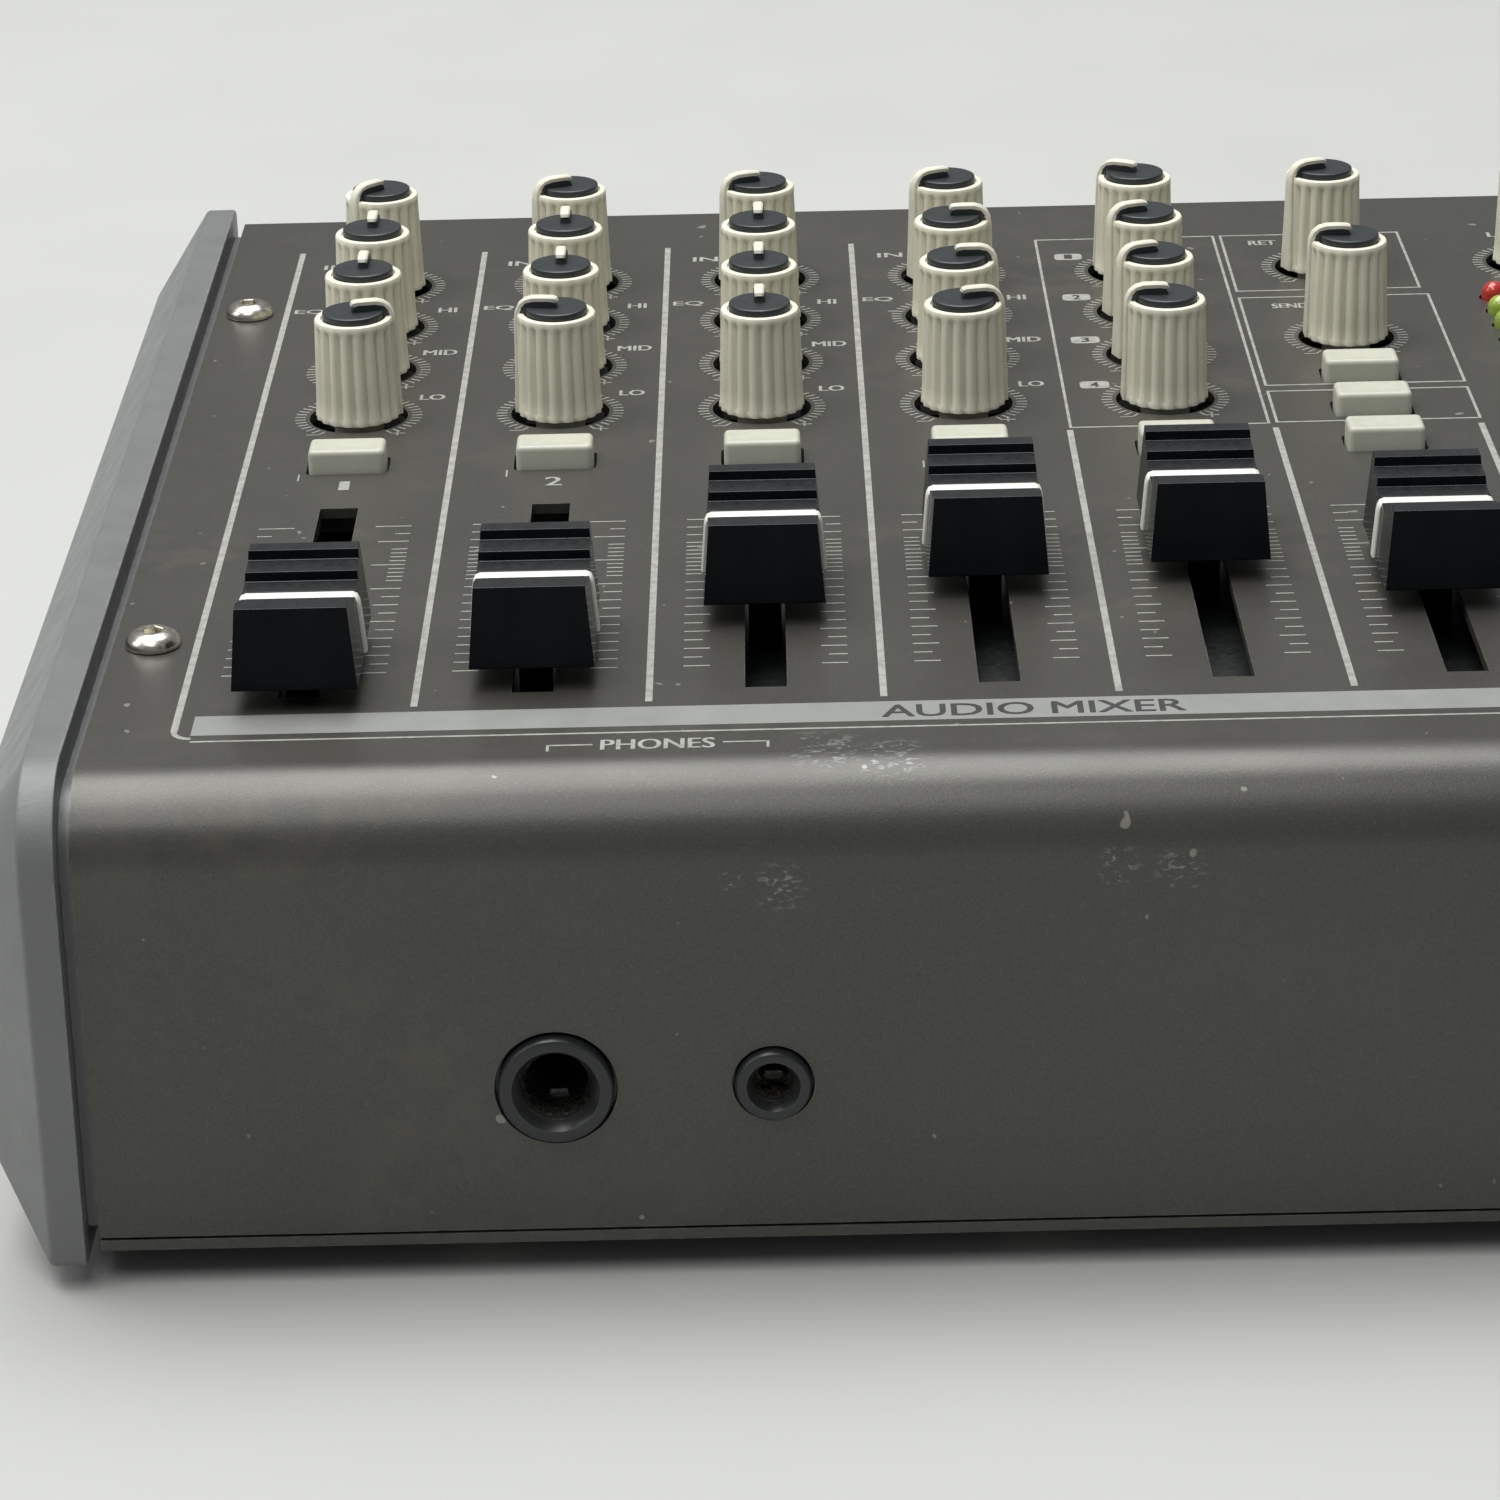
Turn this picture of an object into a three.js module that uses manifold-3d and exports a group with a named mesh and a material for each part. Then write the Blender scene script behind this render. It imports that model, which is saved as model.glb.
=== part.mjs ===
// A compact analogue audio mixer: a bent sheet-metal case between two moulded end cheeks,
// with rotary knobs, faders and push buttons on its panel, and jacks front and rear.
// Millimetres, +Z up. The front faces -Y, the channels run along X, and Z = 0 is the table.
import * as THREE from 'three';
import { mergeVertices } from 'three/addons/utils/BufferGeometryUtils.js';
import Module from 'manifold-3d';

const wasm = await Module();
wasm.setup();

// ---- driving dimensions ----
const CLEARANCE = 0.3;            // gap left between pieces that touch on the real object
const SHEET = 1.2;                // steel sheet of the case
const PANEL_SLOPE = THREE.MathUtils.degToRad(1);    // the panel rises slightly to the rear
const CASE_WIDTH = 195.9;
const CASE_DEPTH = 197;
const CASE_BOTTOM = 4;            // underside of the bottom sheet above the table
const FRONT_CORNER_Z = 54.7;      // where the front face and the panel would meet
const FRONT_BEND = 9;             // outer radius of the big bend along the front
const REAR_BEND = 2.5;
const REAR_FLANGE = 12;           // how far the top sheet turns down at the rear

const CHEEK_PROUD = 1.4;          // how far a cheek stands out past the sheet all round
const CHEEK_BOTTOM = 2.6;
const CHEEK_RIM = 3.75;           // thickness of the cheek's square edge
const CHEEK_BEVEL = 6.7;          // how far the bevel carries the cheek outward
const CHEEK_BEVEL_INSET = 9.5;
const CHEEK_WIDTH = 219.6;        // over both cheeks

const CHANNEL_PITCH = 24.5;
const FIRST_CHANNEL_X = -76.6;
const MAIN_X = 73.6;              // the wider column at the right-hand end
const ROW_PITCH = 17;
const LOW_ROW = 114.2;            // distances along the panel, from the front corner
const GAIN_ROW = LOW_ROW + 3 * ROW_PITCH;
const RETURN_ROW = 136.2;
const BUTTON_ROW = 96.8;
const BUTTON_PITCH = 12.3;
const SLOT_START = 25.9;
const SLOT_END = 82.4;
const SLOT_WIDTH = 4.4;
const FADER_DOWN = 32.1;          // cap centre at the lowest printed mark

const KNOB_HOLE = 6;              // radii
const KNOB_BASE = 5.1;
const KNOB_TOP = 4.7;
const KNOB_HEIGHT = 12.5;
const KNOB_LIFT = 0.3;            // the knob's skirt starts this far above the panel
const DISC_RADIUS = 3.65;
const DISC_RISE = 0.6;
const SHAFT_RADIUS = 3;
const POT_TOP = -5.5;             // heights of the parts under the panel
const BOARD_TOP = -12;
const BOARD_THICKNESS = 1.6;

const BUTTON_WIDTH = 9.1;
const BUTTON_DEPTH = 5;
const BUTTON_HEIGHT = 2.7;
const BUTTON_TRAVEL = 1.5;
const SWITCH_TOP = -7;

const CAP_LENGTH = 20.6;
const CAP_WIDTH = 13.1;
const CAP_BOTTOM = 2.4;
const CAP_END = 8.95;             // height of the cap's two ends above its bottom
const CAP_SADDLE = 5.9;           // height of the cap's middle above its bottom
const CAP_CREST = 1.6;            // flat at the top of each end
const LEVER_WIDTH = 3.6;
const LEVER_LENGTH = 5;

const LED_RADIUS = 1.5;
const LED_PITCH = 5.7;
const LED_ROWS = 5;
const LED_START = 127.8;
const LED_OFFSET = 7.2;           // each column's distance from the main column's centre

const PANEL_SCREW_X = 93.6;
const PANEL_SCREW_ROWS = [41.4, 154.8];
const SCREW_HEAD = 3;
const SCREW_SHANK = 1.5;
const FOOT_X = 82;
const FOOT_Y = 80;
const FOOT_RADIUS = 6.5;

const PHONES_X = -50;
const MINI_X = -27.7;
const FRONT_JACK_Z = 21.7;
const JACK_HOLE = 6.35;
const JACK_BUSH = 5.9;
const JACK_BORE = 3.35;
const MINI_HOLE = 4.25;
const MINI_BUSH = 3.9;
const MINI_BORE = 1.8;
const INPUT_JACK_Z = 30;
const PHONO_X = [14, 31, 48];
const PHONO_Z = [17, 34];
const PHONO_RADIUS = 4.15;
const PHONO_REACH = 8.5;          // the sockets stand out of the rear wall
const POWER_INLET_X = 66.5;
const POWER_SWITCH_X = 84;
const POWER_Z = 25;
const ROCKER_WIDTH = 7.6;
const ROCKER_HEIGHT = 15;
const ROCKER_TILT = THREE.MathUtils.degToRad(8);

// ---- places that follow from them ----
const FRONT_Y = CHEEK_PROUD - (CASE_DEPTH + CHEEK_PROUD + PHONO_REACH) / 2;
const REAR_Y = FRONT_Y + CASE_DEPTH;
const REAR_CORNER_Z = FRONT_CORNER_Z + CASE_DEPTH * Math.tan(PANEL_SLOPE);
const TOP_CASE_BOTTOM = CASE_BOTTOM + SHEET + CLEARANCE;
const SLOT_LENGTH = SLOT_END - SLOT_START;
const channelX = (channel) => FIRST_CHANNEL_X + (channel - 1) * CHANNEL_PITCH;

// Pointer angles at rest are degrees clockwise from straight back.
const KNOBS = [];
const CHANNEL_ROWS = ['low', 'mid', 'high', 'gain'];
const CHANNEL_POINTERS = [[80, 0, 0, -135], [-85, 0, 0, -115], [0, 0, 0, -110], [80, 90, 90, -115]];
CHANNEL_POINTERS.forEach((pointers, index) => pointers.forEach((pointer, row) => KNOBS.push({
  name: `ch${index + 1}_${CHANNEL_ROWS[row]}_knob`,
  x: channelX(index + 1), along: LOW_ROW + row * ROW_PITCH, pointer,
})));
[-92, -110, -110, -65].forEach((pointer, row) => KNOBS.push({
  name: `aux_knob_${4 - row}`, x: channelX(5), along: LOW_ROW + row * ROW_PITCH, pointer,
}));
KNOBS.push({ name: 'return_knob_upper', x: channelX(6), along: GAIN_ROW, pointer: -112 });
KNOBS.push({ name: 'return_knob_lower', x: channelX(6), along: RETURN_ROW, pointer: -90 });
KNOBS.push({ name: 'phones_level_knob', x: MAIN_X, along: GAIN_ROW, pointer: 0 });

const FADERS = [
  ['ch1_fader', channelX(1), 0],
  ['ch2_fader', channelX(2), 4.6],
  ['ch3_fader', channelX(3), 21.4],
  ['ch4_fader', channelX(4), 28.3],
  ['ch5_fader', channelX(5), 31.3],
  ['ch6_fader', channelX(6), 21.2],
  ['main_fader', MAIN_X, 31.3],
].map(([name, x, raised]) => ({ name, x, along: FADER_DOWN + raised }));

const BUTTONS = [1, 2, 3, 4, 5].map((channel) => (
  { name: `ch${channel}_button`, x: channelX(channel), along: BUTTON_ROW }
));
[1, 2, 3].forEach((step) => BUTTONS.push({
  name: `assign_button_${step}`, x: channelX(6), along: BUTTON_ROW + (3 - step) * BUTTON_PITCH,
}));

const LEDS = [-LED_OFFSET, LED_OFFSET].flatMap((offset) => (
  Array.from({ length: LED_ROWS }, (_, row) => ({ x: MAIN_X + offset, along: LED_START + row * LED_PITCH }))
));

// ---- solid modelling helpers ----
function solid(geometry) {
  const bare = new THREE.BufferGeometry();
  bare.setAttribute('position', geometry.getAttribute('position'));
  if (geometry.index) bare.setIndex(geometry.index);
  const welded = mergeVertices(bare, 1e-4);
  return new wasm.Manifold(new wasm.Mesh({
    numProp: 3,
    vertProperties: Float32Array.from(welded.getAttribute('position').array),
    triVerts: Uint32Array.from(welded.index.array),
  }));
}

function toGeometry(body) {
  const mesh = body.getMesh();
  const geometry = new THREE.BufferGeometry();
  geometry.setAttribute('position', new THREE.BufferAttribute(mesh.vertProperties, 3));
  geometry.setIndex(new THREE.BufferAttribute(mesh.triVerts, 1));
  geometry.computeVertexNormals();
  return geometry;
}

// A block from bottom to top, centred on x and y.
function block(width, depth, bottom, top, x = 0, y = 0) {
  return new THREE.BoxGeometry(width, depth, top - bottom).translate(x, y, (bottom + top) / 2);
}

// An upright round post from bottom to top.
function post(radius, bottom, top, x = 0, y = 0, sides = 16) {
  return new THREE.CylinderGeometry(radius, radius, top - bottom, sides)
    .rotateX(Math.PI / 2).translate(x, y, (bottom + top) / 2);
}

// A round bar along Y.
function rod(radius, front, rear, x, z, sides = 20) {
  return new THREE.CylinderGeometry(radius, radius, rear - front, sides)
    .translate(x, (front + rear) / 2, z);
}

// A solid of revolution about local Z. Points are [radius, height].
function turned(points, sides = 16) {
  return new THREE.LatheGeometry(points.map(([r, h]) => new THREE.Vector2(r, h)), sides)
    .rotateX(Math.PI / 2);
}

// A closed outline in the YZ plane, carried along X.
function extrudeAlongX(outline, width, centreX = 0) {
  const geometry = new THREE.ExtrudeGeometry(new THREE.Shape(outline), { depth: width, bevelEnabled: false });
  const yz = new THREE.Matrix4().makeBasis(
    new THREE.Vector3(0, 1, 0), new THREE.Vector3(0, 0, 1), new THREE.Vector3(1, 0, 0),
  );
  return geometry.applyMatrix4(yz).translate(centreX - width / 2, 0, 0);
}

const PANEL_MATRIX = new THREE.Matrix4().makeRotationX(PANEL_SLOPE).setPosition(0, FRONT_Y, FRONT_CORNER_Z);
const onPanel = (geometry) => geometry.applyMatrix4(PANEL_MATRIX);
const cut = (body, geometries) => geometries.reduce((rest, cutter) => rest.subtract(solid(cutter)), body);
const join = (geometries) => geometries.map(solid).reduce((whole, piece) => whole.add(piece));

// Points along the arc that rounds a corner, each with the outward normal of a clockwise outline.
function roundCorner(before, corner, after, radius, steps) {
  const arriving = corner.clone().sub(before).normalize();
  const leaving = after.clone().sub(corner).normalize();
  const turn = Math.atan2(arriving.cross(leaving), arriving.dot(leaving));
  const tangent = radius * Math.tan(Math.abs(turn) / 2);
  const startAngle = Math.atan2(arriving.x, -arriving.y);
  const centre = corner.clone().addScaledVector(arriving, -tangent)
    .addScaledVector(new THREE.Vector2(-arriving.y, arriving.x), -radius);
  return Array.from({ length: steps + 1 }, (_, step) => {
    const angle = startAngle + turn * step / steps;
    const normal = new THREE.Vector2(Math.cos(angle), Math.sin(angle));
    return { point: centre.clone().addScaledVector(normal, radius), normal };
  });
}

// Outline of a bent sheet: the outer face follows the corners and the inner face lies one sheet inside.
function bentSheetOutline(corners, bends) {
  const ends = corners.map(([y, z]) => new THREE.Vector2(y, z));
  const last = ends.length - 1;
  const normalOf = (a, b) => {
    const along = b.clone().sub(a).normalize();
    return new THREE.Vector2(-along.y, along.x);
  };
  const path = [
    { point: ends[0], normal: normalOf(ends[0], ends[1]) },
    ...bends.flatMap(({ radius, steps }, i) => roundCorner(ends[i], ends[i + 1], ends[i + 2], radius, steps)),
    { point: ends[last], normal: normalOf(ends[last - 1], ends[last]) },
  ];
  const outer = path.map(({ point }) => point);
  const inner = path.map(({ point, normal }) => point.clone().addScaledVector(normal, -SHEET));
  return outer.concat(inner.reverse());
}

// ---- case ----
function topCase() {
  const outline = bentSheetOutline(
    [
      [FRONT_Y, TOP_CASE_BOTTOM],
      [FRONT_Y, FRONT_CORNER_Z],
      [REAR_Y, REAR_CORNER_Z],
      [REAR_Y, REAR_CORNER_Z - REAR_FLANGE],
    ],
    [{ radius: FRONT_BEND, steps: 10 }, { radius: REAR_BEND, steps: 4 }],
  );
  const [low, high] = [-2 * SHEET, SHEET];
  const panelCuts = [
    ...KNOBS.map(({ x, along }) => post(KNOB_HOLE, low, high, x, along)),
    ...FADERS.map(({ x }) => block(SLOT_WIDTH, SLOT_LENGTH, low, high, x, (SLOT_START + SLOT_END) / 2)),
    ...BUTTONS.map(({ x, along }) => block(BUTTON_WIDTH + 0.7, BUTTON_DEPTH + 0.7, low, high, x, along)),
    ...LEDS.map(({ x, along }) => post(LED_RADIUS + 0.4, low, high, x, along, 8)),
    ...PANEL_SCREW_ROWS.flatMap((along) => [-PANEL_SCREW_X, PANEL_SCREW_X].map((x) => (
      post(SCREW_SHANK + CLEARANCE, low, high, x, along, 12)
    ))),
  ].map(onPanel);
  const jackCuts = [[JACK_HOLE, PHONES_X], [MINI_HOLE, MINI_X]].map(([radius, x]) => (
    rod(radius, FRONT_Y - SHEET, FRONT_Y + 2 * SHEET, x, FRONT_JACK_Z, 24)
  ));
  return cut(solid(extrudeAlongX(outline, CASE_WIDTH)), [...panelCuts, ...jackCuts]);
}

function bottomChassis() {
  const rearTop = REAR_CORNER_Z - REAR_FLANGE - CLEARANCE;
  const outline = bentSheetOutline(
    [[REAR_Y, rearTop], [REAR_Y, CASE_BOTTOM], [FRONT_Y, CASE_BOTTOM]],
    [{ radius: REAR_BEND, steps: 4 }],
  );
  const [front, rear] = [REAR_Y - 2 * SHEET, REAR_Y + SHEET];
  const wallCuts = [
    ...[1, 2, 3, 4].map((channel) => rod(JACK_HOLE, front, rear, channelX(channel), INPUT_JACK_Z)),
    ...PHONO_X.flatMap((x) => PHONO_Z.map((z) => rod(PHONO_RADIUS + 0.5, front, rear, x, z))),
    rod(JACK_HOLE, front, rear, POWER_INLET_X, POWER_Z),
    new THREE.BoxGeometry(ROCKER_WIDTH + 4.6, rear - front, ROCKER_HEIGHT + 6.6)
      .translate(POWER_SWITCH_X, (front + rear) / 2, POWER_Z),
  ];
  return cut(solid(extrudeAlongX(outline, CASE_WIDTH)), wallCuts);
}

// ---- end cheeks ----
// The cheek's outline, drawn in from its full size by an inset, counter-clockwise seen from +X.
function cheekRing(inset) {
  const front = FRONT_Y - CHEEK_PROUD + inset;
  const rear = REAR_Y + CHEEK_PROUD - inset;
  const bottom = CHEEK_BOTTOM + inset;
  const topAt = (y) => FRONT_CORNER_Z + (y - FRONT_Y) * Math.tan(PANEL_SLOPE)
    + (CHEEK_PROUD - inset) / Math.cos(PANEL_SLOPE);
  const corners = [[front, bottom], [front, topAt(front)], [rear, topAt(rear)], [rear, bottom]]
    .map(([y, z]) => new THREE.Vector2(y, z));
  const radii = [1, FRONT_BEND + CHEEK_PROUD, 1.2, 1].map((radius) => Math.max(radius - inset, 0.5));
  const steps = [2, 9, 2, 2];
  return corners.flatMap((corner, i) => (
    roundCorner(corners[(i + 3) % 4], corner, corners[(i + 1) % 4], radii[i], steps[i])
  )).map(({ point }) => point).reverse();
}

// A closed skin over rings that share one point count, each at its own x.
function skinRings(rings) {
  const count = rings[0].points.length;
  const positions = rings.flatMap(({ x, points }) => points.flatMap(({ x: y, y: z }) => [x, y, z]));
  const faces = [];
  for (let ring = 0; ring < rings.length - 1; ring += 1) {
    for (let i = 0; i < count; i += 1) {
      const [a, b] = [ring * count + i, ring * count + (i + 1) % count];
      faces.push(a, b, a + count, b, b + count, a + count);
    }
  }
  const lastStart = (rings.length - 1) * count;
  THREE.ShapeUtils.triangulateShape(rings[0].points, []).forEach(([a, b, c]) => faces.push(c, b, a));
  THREE.ShapeUtils.triangulateShape(rings.at(-1).points, [])
    .forEach(([a, b, c]) => faces.push(lastStart + a, lastStart + b, lastStart + c));
  const geometry = new THREE.BufferGeometry();
  geometry.setAttribute('position', new THREE.Float32BufferAttribute(positions, 3));
  geometry.setIndex(faces);
  return geometry;
}

// side is -1 for the left cheek and 1 for the right one.
function cheek(side) {
  const inner = CASE_WIDTH / 2 + CLEARANCE;
  const outer = CHEEK_WIDTH / 2;
  const rimOuter = outer - CHEEK_BEVEL;
  const rimInner = rimOuter - CHEEK_RIM;
  const steps = [[inner, 3.2], [rimInner, 3.2], [rimInner, 0], [rimOuter, 0], [outer, CHEEK_BEVEL_INSET]];
  const rings = steps.map(([x, inset]) => ({ x: side * x, points: cheekRing(inset) }));
  const plate = solid(skinRings(side > 0 ? rings : rings.reverse()));
  const [lugBottom, lugTop] = [-11, -SHEET - CLEARANCE];
  const lugs = PANEL_SCREW_ROWS.map((along) => (
    onPanel(block(11, 11, lugBottom, lugTop, side * (PANEL_SCREW_X + 0.4), along))
  ));
  const bridges = PANEL_SCREW_ROWS.map((along) => (
    onPanel(block(2, 11, lugBottom, lugTop, side * (inner + 0.5), along))
  ));
  const holes = PANEL_SCREW_ROWS.map((along) => (
    onPanel(post(SCREW_SHANK + CLEARANCE, lugBottom - 1, 0, side * PANEL_SCREW_X, along, 12))
  ));
  return cut([...lugs, ...bridges].reduce((whole, lug) => whole.add(solid(lug)), plate), holes);
}

// A button-head screw with a hexagon socket. Its head rests on the panel at height 0.
function panelScrew() {
  const head = turned([
    [0, -9], [SCREW_SHANK, -9], [SCREW_SHANK, CLEARANCE], [SCREW_HEAD, CLEARANCE],
    [SCREW_HEAD, 0.8], [2.4, 1.6], [0, 1.9],
  ], 12);
  return cut(solid(head), [post(1, 0.9, 3, 0, 0, 6)]);
}

function foot() {
  const top = CASE_BOTTOM - CLEARANCE;
  return solid(turned([[0, 0], [FOOT_RADIUS - 0.8, 0], [FOOT_RADIUS, 0.8], [FOOT_RADIUS, top], [0, top]]));
}

// ---- controls ----
// A knob on its shaft. The pointer rib runs over the rim towards +Y and down the side.
function knob() {
  const top = KNOB_LIFT + KNOB_HEIGHT;
  const body = turned([
    [0, POT_TOP + CLEARANCE], [SHAFT_RADIUS, POT_TOP + CLEARANCE], [SHAFT_RADIUS, KNOB_LIFT],
    [KNOB_BASE, KNOB_LIFT], [KNOB_TOP, top],
    [DISC_RADIUS, top], [DISC_RADIUS, top + DISC_RISE], [0, top + DISC_RISE],
  ], 12);
  const ridge = block(1.4, KNOB_BASE, top - 0.5, top + DISC_RISE + 0.5, 0, KNOB_BASE / 2);
  const flank = block(2.4, 1, KNOB_LIFT, top + DISC_RISE, 0, KNOB_BASE - 0.3);
  return join([body, ridge, flank]);
}

// A fader cap: a saddle between two raised ends, on the lever that reaches down through the slot.
function faderCap() {
  const end = CAP_LENGTH / 2;
  const crest = CAP_BOTTOM + CAP_END;
  const saddle = CAP_BOTTOM + CAP_SADDLE;
  const outline = [
    [-end, CAP_BOTTOM], [end, CAP_BOTTOM], [end - 0.8, crest], [end - 0.8 - CAP_CREST, crest],
    [2.2, saddle], [0.65, saddle], [0.65, saddle + 0.5], [-0.65, saddle + 0.5], [-0.65, saddle],
    [-2.2, saddle], [-end + 0.8 + CAP_CREST, crest], [-end + 0.8, crest],
  ].map(([y, z]) => new THREE.Vector2(y, z));
  const lever = block(LEVER_WIDTH, LEVER_LENGTH, POT_TOP + CLEARANCE, CAP_BOTTOM + 1);
  return join([extrudeAlongX(outline, CAP_WIDTH), lever]);
}

function pushButton() {
  const stemBottom = SWITCH_TOP + BUTTON_TRAVEL + CLEARANCE;
  return join([
    block(BUTTON_WIDTH, BUTTON_DEPTH, -3, BUTTON_HEIGHT),
    block(3, 3, stemBottom, -2),
  ]);
}

// The control board under the panel, with its pots, slide pots, switches and spacers.
function controlBoard() {
  const seat = BOARD_TOP - 0.5;
  const slideCentre = (SLOT_START + SLOT_END) / 2;
  const spacers = [-64.35, -15.35, 33.65].flatMap((x) => [24, 104, 174].map((along) => [x, along]));
  return join([
    block(172, 170, BOARD_TOP - BOARD_THICKNESS, BOARD_TOP, 0, 98),
    ...KNOBS.map(({ x, along }) => block(9.6, 11, seat, POT_TOP, x, along)),
    ...FADERS.map(({ x }) => block(9, SLOT_LENGTH + 8, seat, POT_TOP, x, slideCentre)),
    ...BUTTONS.map(({ x, along }) => block(7, 7, seat, SWITCH_TOP, x, along)),
    ...spacers.map(([x, along]) => post(2.5, seat, -SHEET - CLEARANCE, x, along, 8)),
  ]);
}

// Two columns of lamps, moulded on one strip that hangs under the panel.
function levelMeter() {
  const stripTop = -SHEET - CLEARANCE;
  const strip = block(2 * LED_OFFSET + 6, LED_ROWS * LED_PITCH + 3, stripTop - 3, stripTop,
    MAIN_X, LED_START + (LED_ROWS - 1) * LED_PITCH / 2);
  const lamps = LEDS.map(({ x, along }) => turned([
    [0, stripTop - 1], [LED_RADIUS, stripTop - 1], [LED_RADIUS, 0.8],
    [LED_RADIUS * 0.75, 1.7], [0, 2.2],
  ], 8).translate(x, along, 0));
  return join([strip, ...lamps]);
}

// ---- connectors ----
// A jack socket whose mouth faces -Y at y = 0, on a square housing behind the panel.
function jackSocket({ bush, bore, housing, depth }) {
  const shoulder = SHEET + CLEARANCE;
  const body = join([
    rod(bush, 0.4, shoulder + 1, 0, 0),
    new THREE.BoxGeometry(housing, depth - shoulder, housing).translate(0, (depth + shoulder) / 2, 0),
  ]);
  const mouth = new THREE.CylinderGeometry(bore, bush - 0.9, 1.2, 20).translate(0, 0.9, 0);
  return cut(body, [mouth, rod(bore, 0, depth - 2, 0, 0)]);
}

const LARGE_JACK = { bush: JACK_BUSH, bore: JACK_BORE, housing: 15, depth: 31 };
const MINI_JACK = { bush: MINI_BUSH, bore: MINI_BORE, housing: 10, depth: 15 };

// The rear board: phono sockets, power inlet and the frame that the power rocker tilts in.
function outputBoard() {
  const inside = REAR_Y - SHEET - CLEARANCE;
  const housingFront = inside - 12;
  const board = new THREE.BoxGeometry(88, 1.6, 32).translate(50, housingFront, 25);
  const blocks = PHONO_X.map((x) => (
    new THREE.BoxGeometry(12, 12, 28).translate(x, inside - 6, (PHONO_Z[0] + PHONO_Z[1]) / 2)
  ));
  const sleeves = PHONO_X.flatMap((x) => PHONO_Z.map((z) => (
    rod(PHONO_RADIUS, inside - 1, REAR_Y + PHONO_REACH, x, z, 16)
  )));
  const inlet = [
    new THREE.BoxGeometry(14, 12, 14).translate(POWER_INLET_X, inside - 6, POWER_Z),
    rod(JACK_BUSH, inside - 1, REAR_Y + 0.3, POWER_INLET_X, POWER_Z),
  ];
  const frame = new THREE.BoxGeometry(ROCKER_WIDTH + 4, 12 + SHEET + 1, ROCKER_HEIGHT + 6)
    .translate(POWER_SWITCH_X, inside - 5.4 + SHEET / 2, POWER_Z);
  const bores = PHONO_X.flatMap((x) => PHONO_Z.map((z) => rod(1.7, REAR_Y, REAR_Y + 20, x, z, 8)));
  const well = new THREE.BoxGeometry(ROCKER_WIDTH + 0.8, 12, ROCKER_HEIGHT + 2.6)
    .translate(POWER_SWITCH_X, REAR_Y, POWER_Z);
  const socket = cut(solid(rod(3.1, REAR_Y - 9, REAR_Y + 5, POWER_INLET_X, POWER_Z)), [
    rod(1, REAR_Y - 10, REAR_Y - 0.6, POWER_INLET_X, POWER_Z, 12),
  ]);
  return cut(join([board, ...blocks, ...sleeves, ...inlet, frame]), [...bores, well]).subtract(socket);
}

// The power rocker about its own pivot: a shallow V outside, flat inside.
function rocker() {
  const half = ROCKER_HEIGHT / 2;
  const outline = [[-2.6, -half], [-2.6, half], [2.4, half], [1.7, 0], [2.4, -half]]
    .map(([y, z]) => new THREE.Vector2(y, z));
  return solid(extrudeAlongX(outline, ROCKER_WIDTH));
}

// ---- assembly ----
const paint = (color, roughness, metalness = 0) => () => (
  new THREE.MeshStandardMaterial({ color, roughness, metalness })
);
const casePaint = paint(0x4a4a46, 0.45, 0.6);
const cheekPlastic = paint(0x5c6164, 0.5);
const knobCream = paint(0xbebba6, 0.55);
const capBlack = paint(0x101215, 0.3);
const buttonGrey = paint(0x8b8b7e, 0.55);
const rubber = paint(0x17181a, 0.9);
const nickel = paint(0xb8b4a4, 0.3, 1);
const jackBlack = paint(0x1b1d1f, 0.4);
const boardGreen = paint(0x24482f, 0.6);
const lampClear = paint(0x7f9a3a, 0.2);

const mixer = new THREE.Group();
const panel = new THREE.Group();
panel.position.set(0, FRONT_Y, FRONT_CORNER_Z);
panel.rotation.x = PANEL_SLOPE;
mixer.add(panel);

function place(parent, name, geometry, material, x = 0, y = 0, z = 0) {
  const mesh = new THREE.Mesh(geometry, material());
  mesh.name = name;
  mesh.position.set(x, y, z);
  parent.add(mesh);
  return mesh;
}

place(mixer, 'top_case', toGeometry(topCase()), casePaint);
place(mixer, 'bottom_chassis', toGeometry(bottomChassis()), casePaint);
place(mixer, 'left_cheek', toGeometry(cheek(-1)), cheekPlastic);
place(mixer, 'right_cheek', toGeometry(cheek(1)), cheekPlastic);

const screwGeometry = toGeometry(panelScrew());
PANEL_SCREW_ROWS.forEach((along, row) => [-1, 1].forEach((side, column) => place(
  panel, `panel_screw_${2 * row + column + 1}`, screwGeometry, nickel, side * PANEL_SCREW_X, along,
)));

const footGeometry = toGeometry(foot());
[-1, 1].forEach((rear, row) => [-1, 1].forEach((side, column) => place(
  mixer, `foot_${2 * row + column + 1}`, footGeometry, rubber,
  side * FOOT_X, (FRONT_Y + REAR_Y) / 2 + rear * FOOT_Y, 0,
)));

const knobGeometry = toGeometry(knob());
KNOBS.forEach(({ name, x, along, pointer }) => {
  place(panel, name, knobGeometry, knobCream, x, along).rotation.z = -THREE.MathUtils.degToRad(pointer);
});

const capGeometry = toGeometry(faderCap());
FADERS.forEach(({ name, x, along }) => place(panel, name, capGeometry, capBlack, x, along));

const buttonGeometry = toGeometry(pushButton());
BUTTONS.forEach(({ name, x, along }) => place(panel, name, buttonGeometry, buttonGrey, x, along));

place(panel, 'control_board', toGeometry(controlBoard()), boardGreen);
place(panel, 'level_meter', toGeometry(levelMeter()), lampClear);

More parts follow.
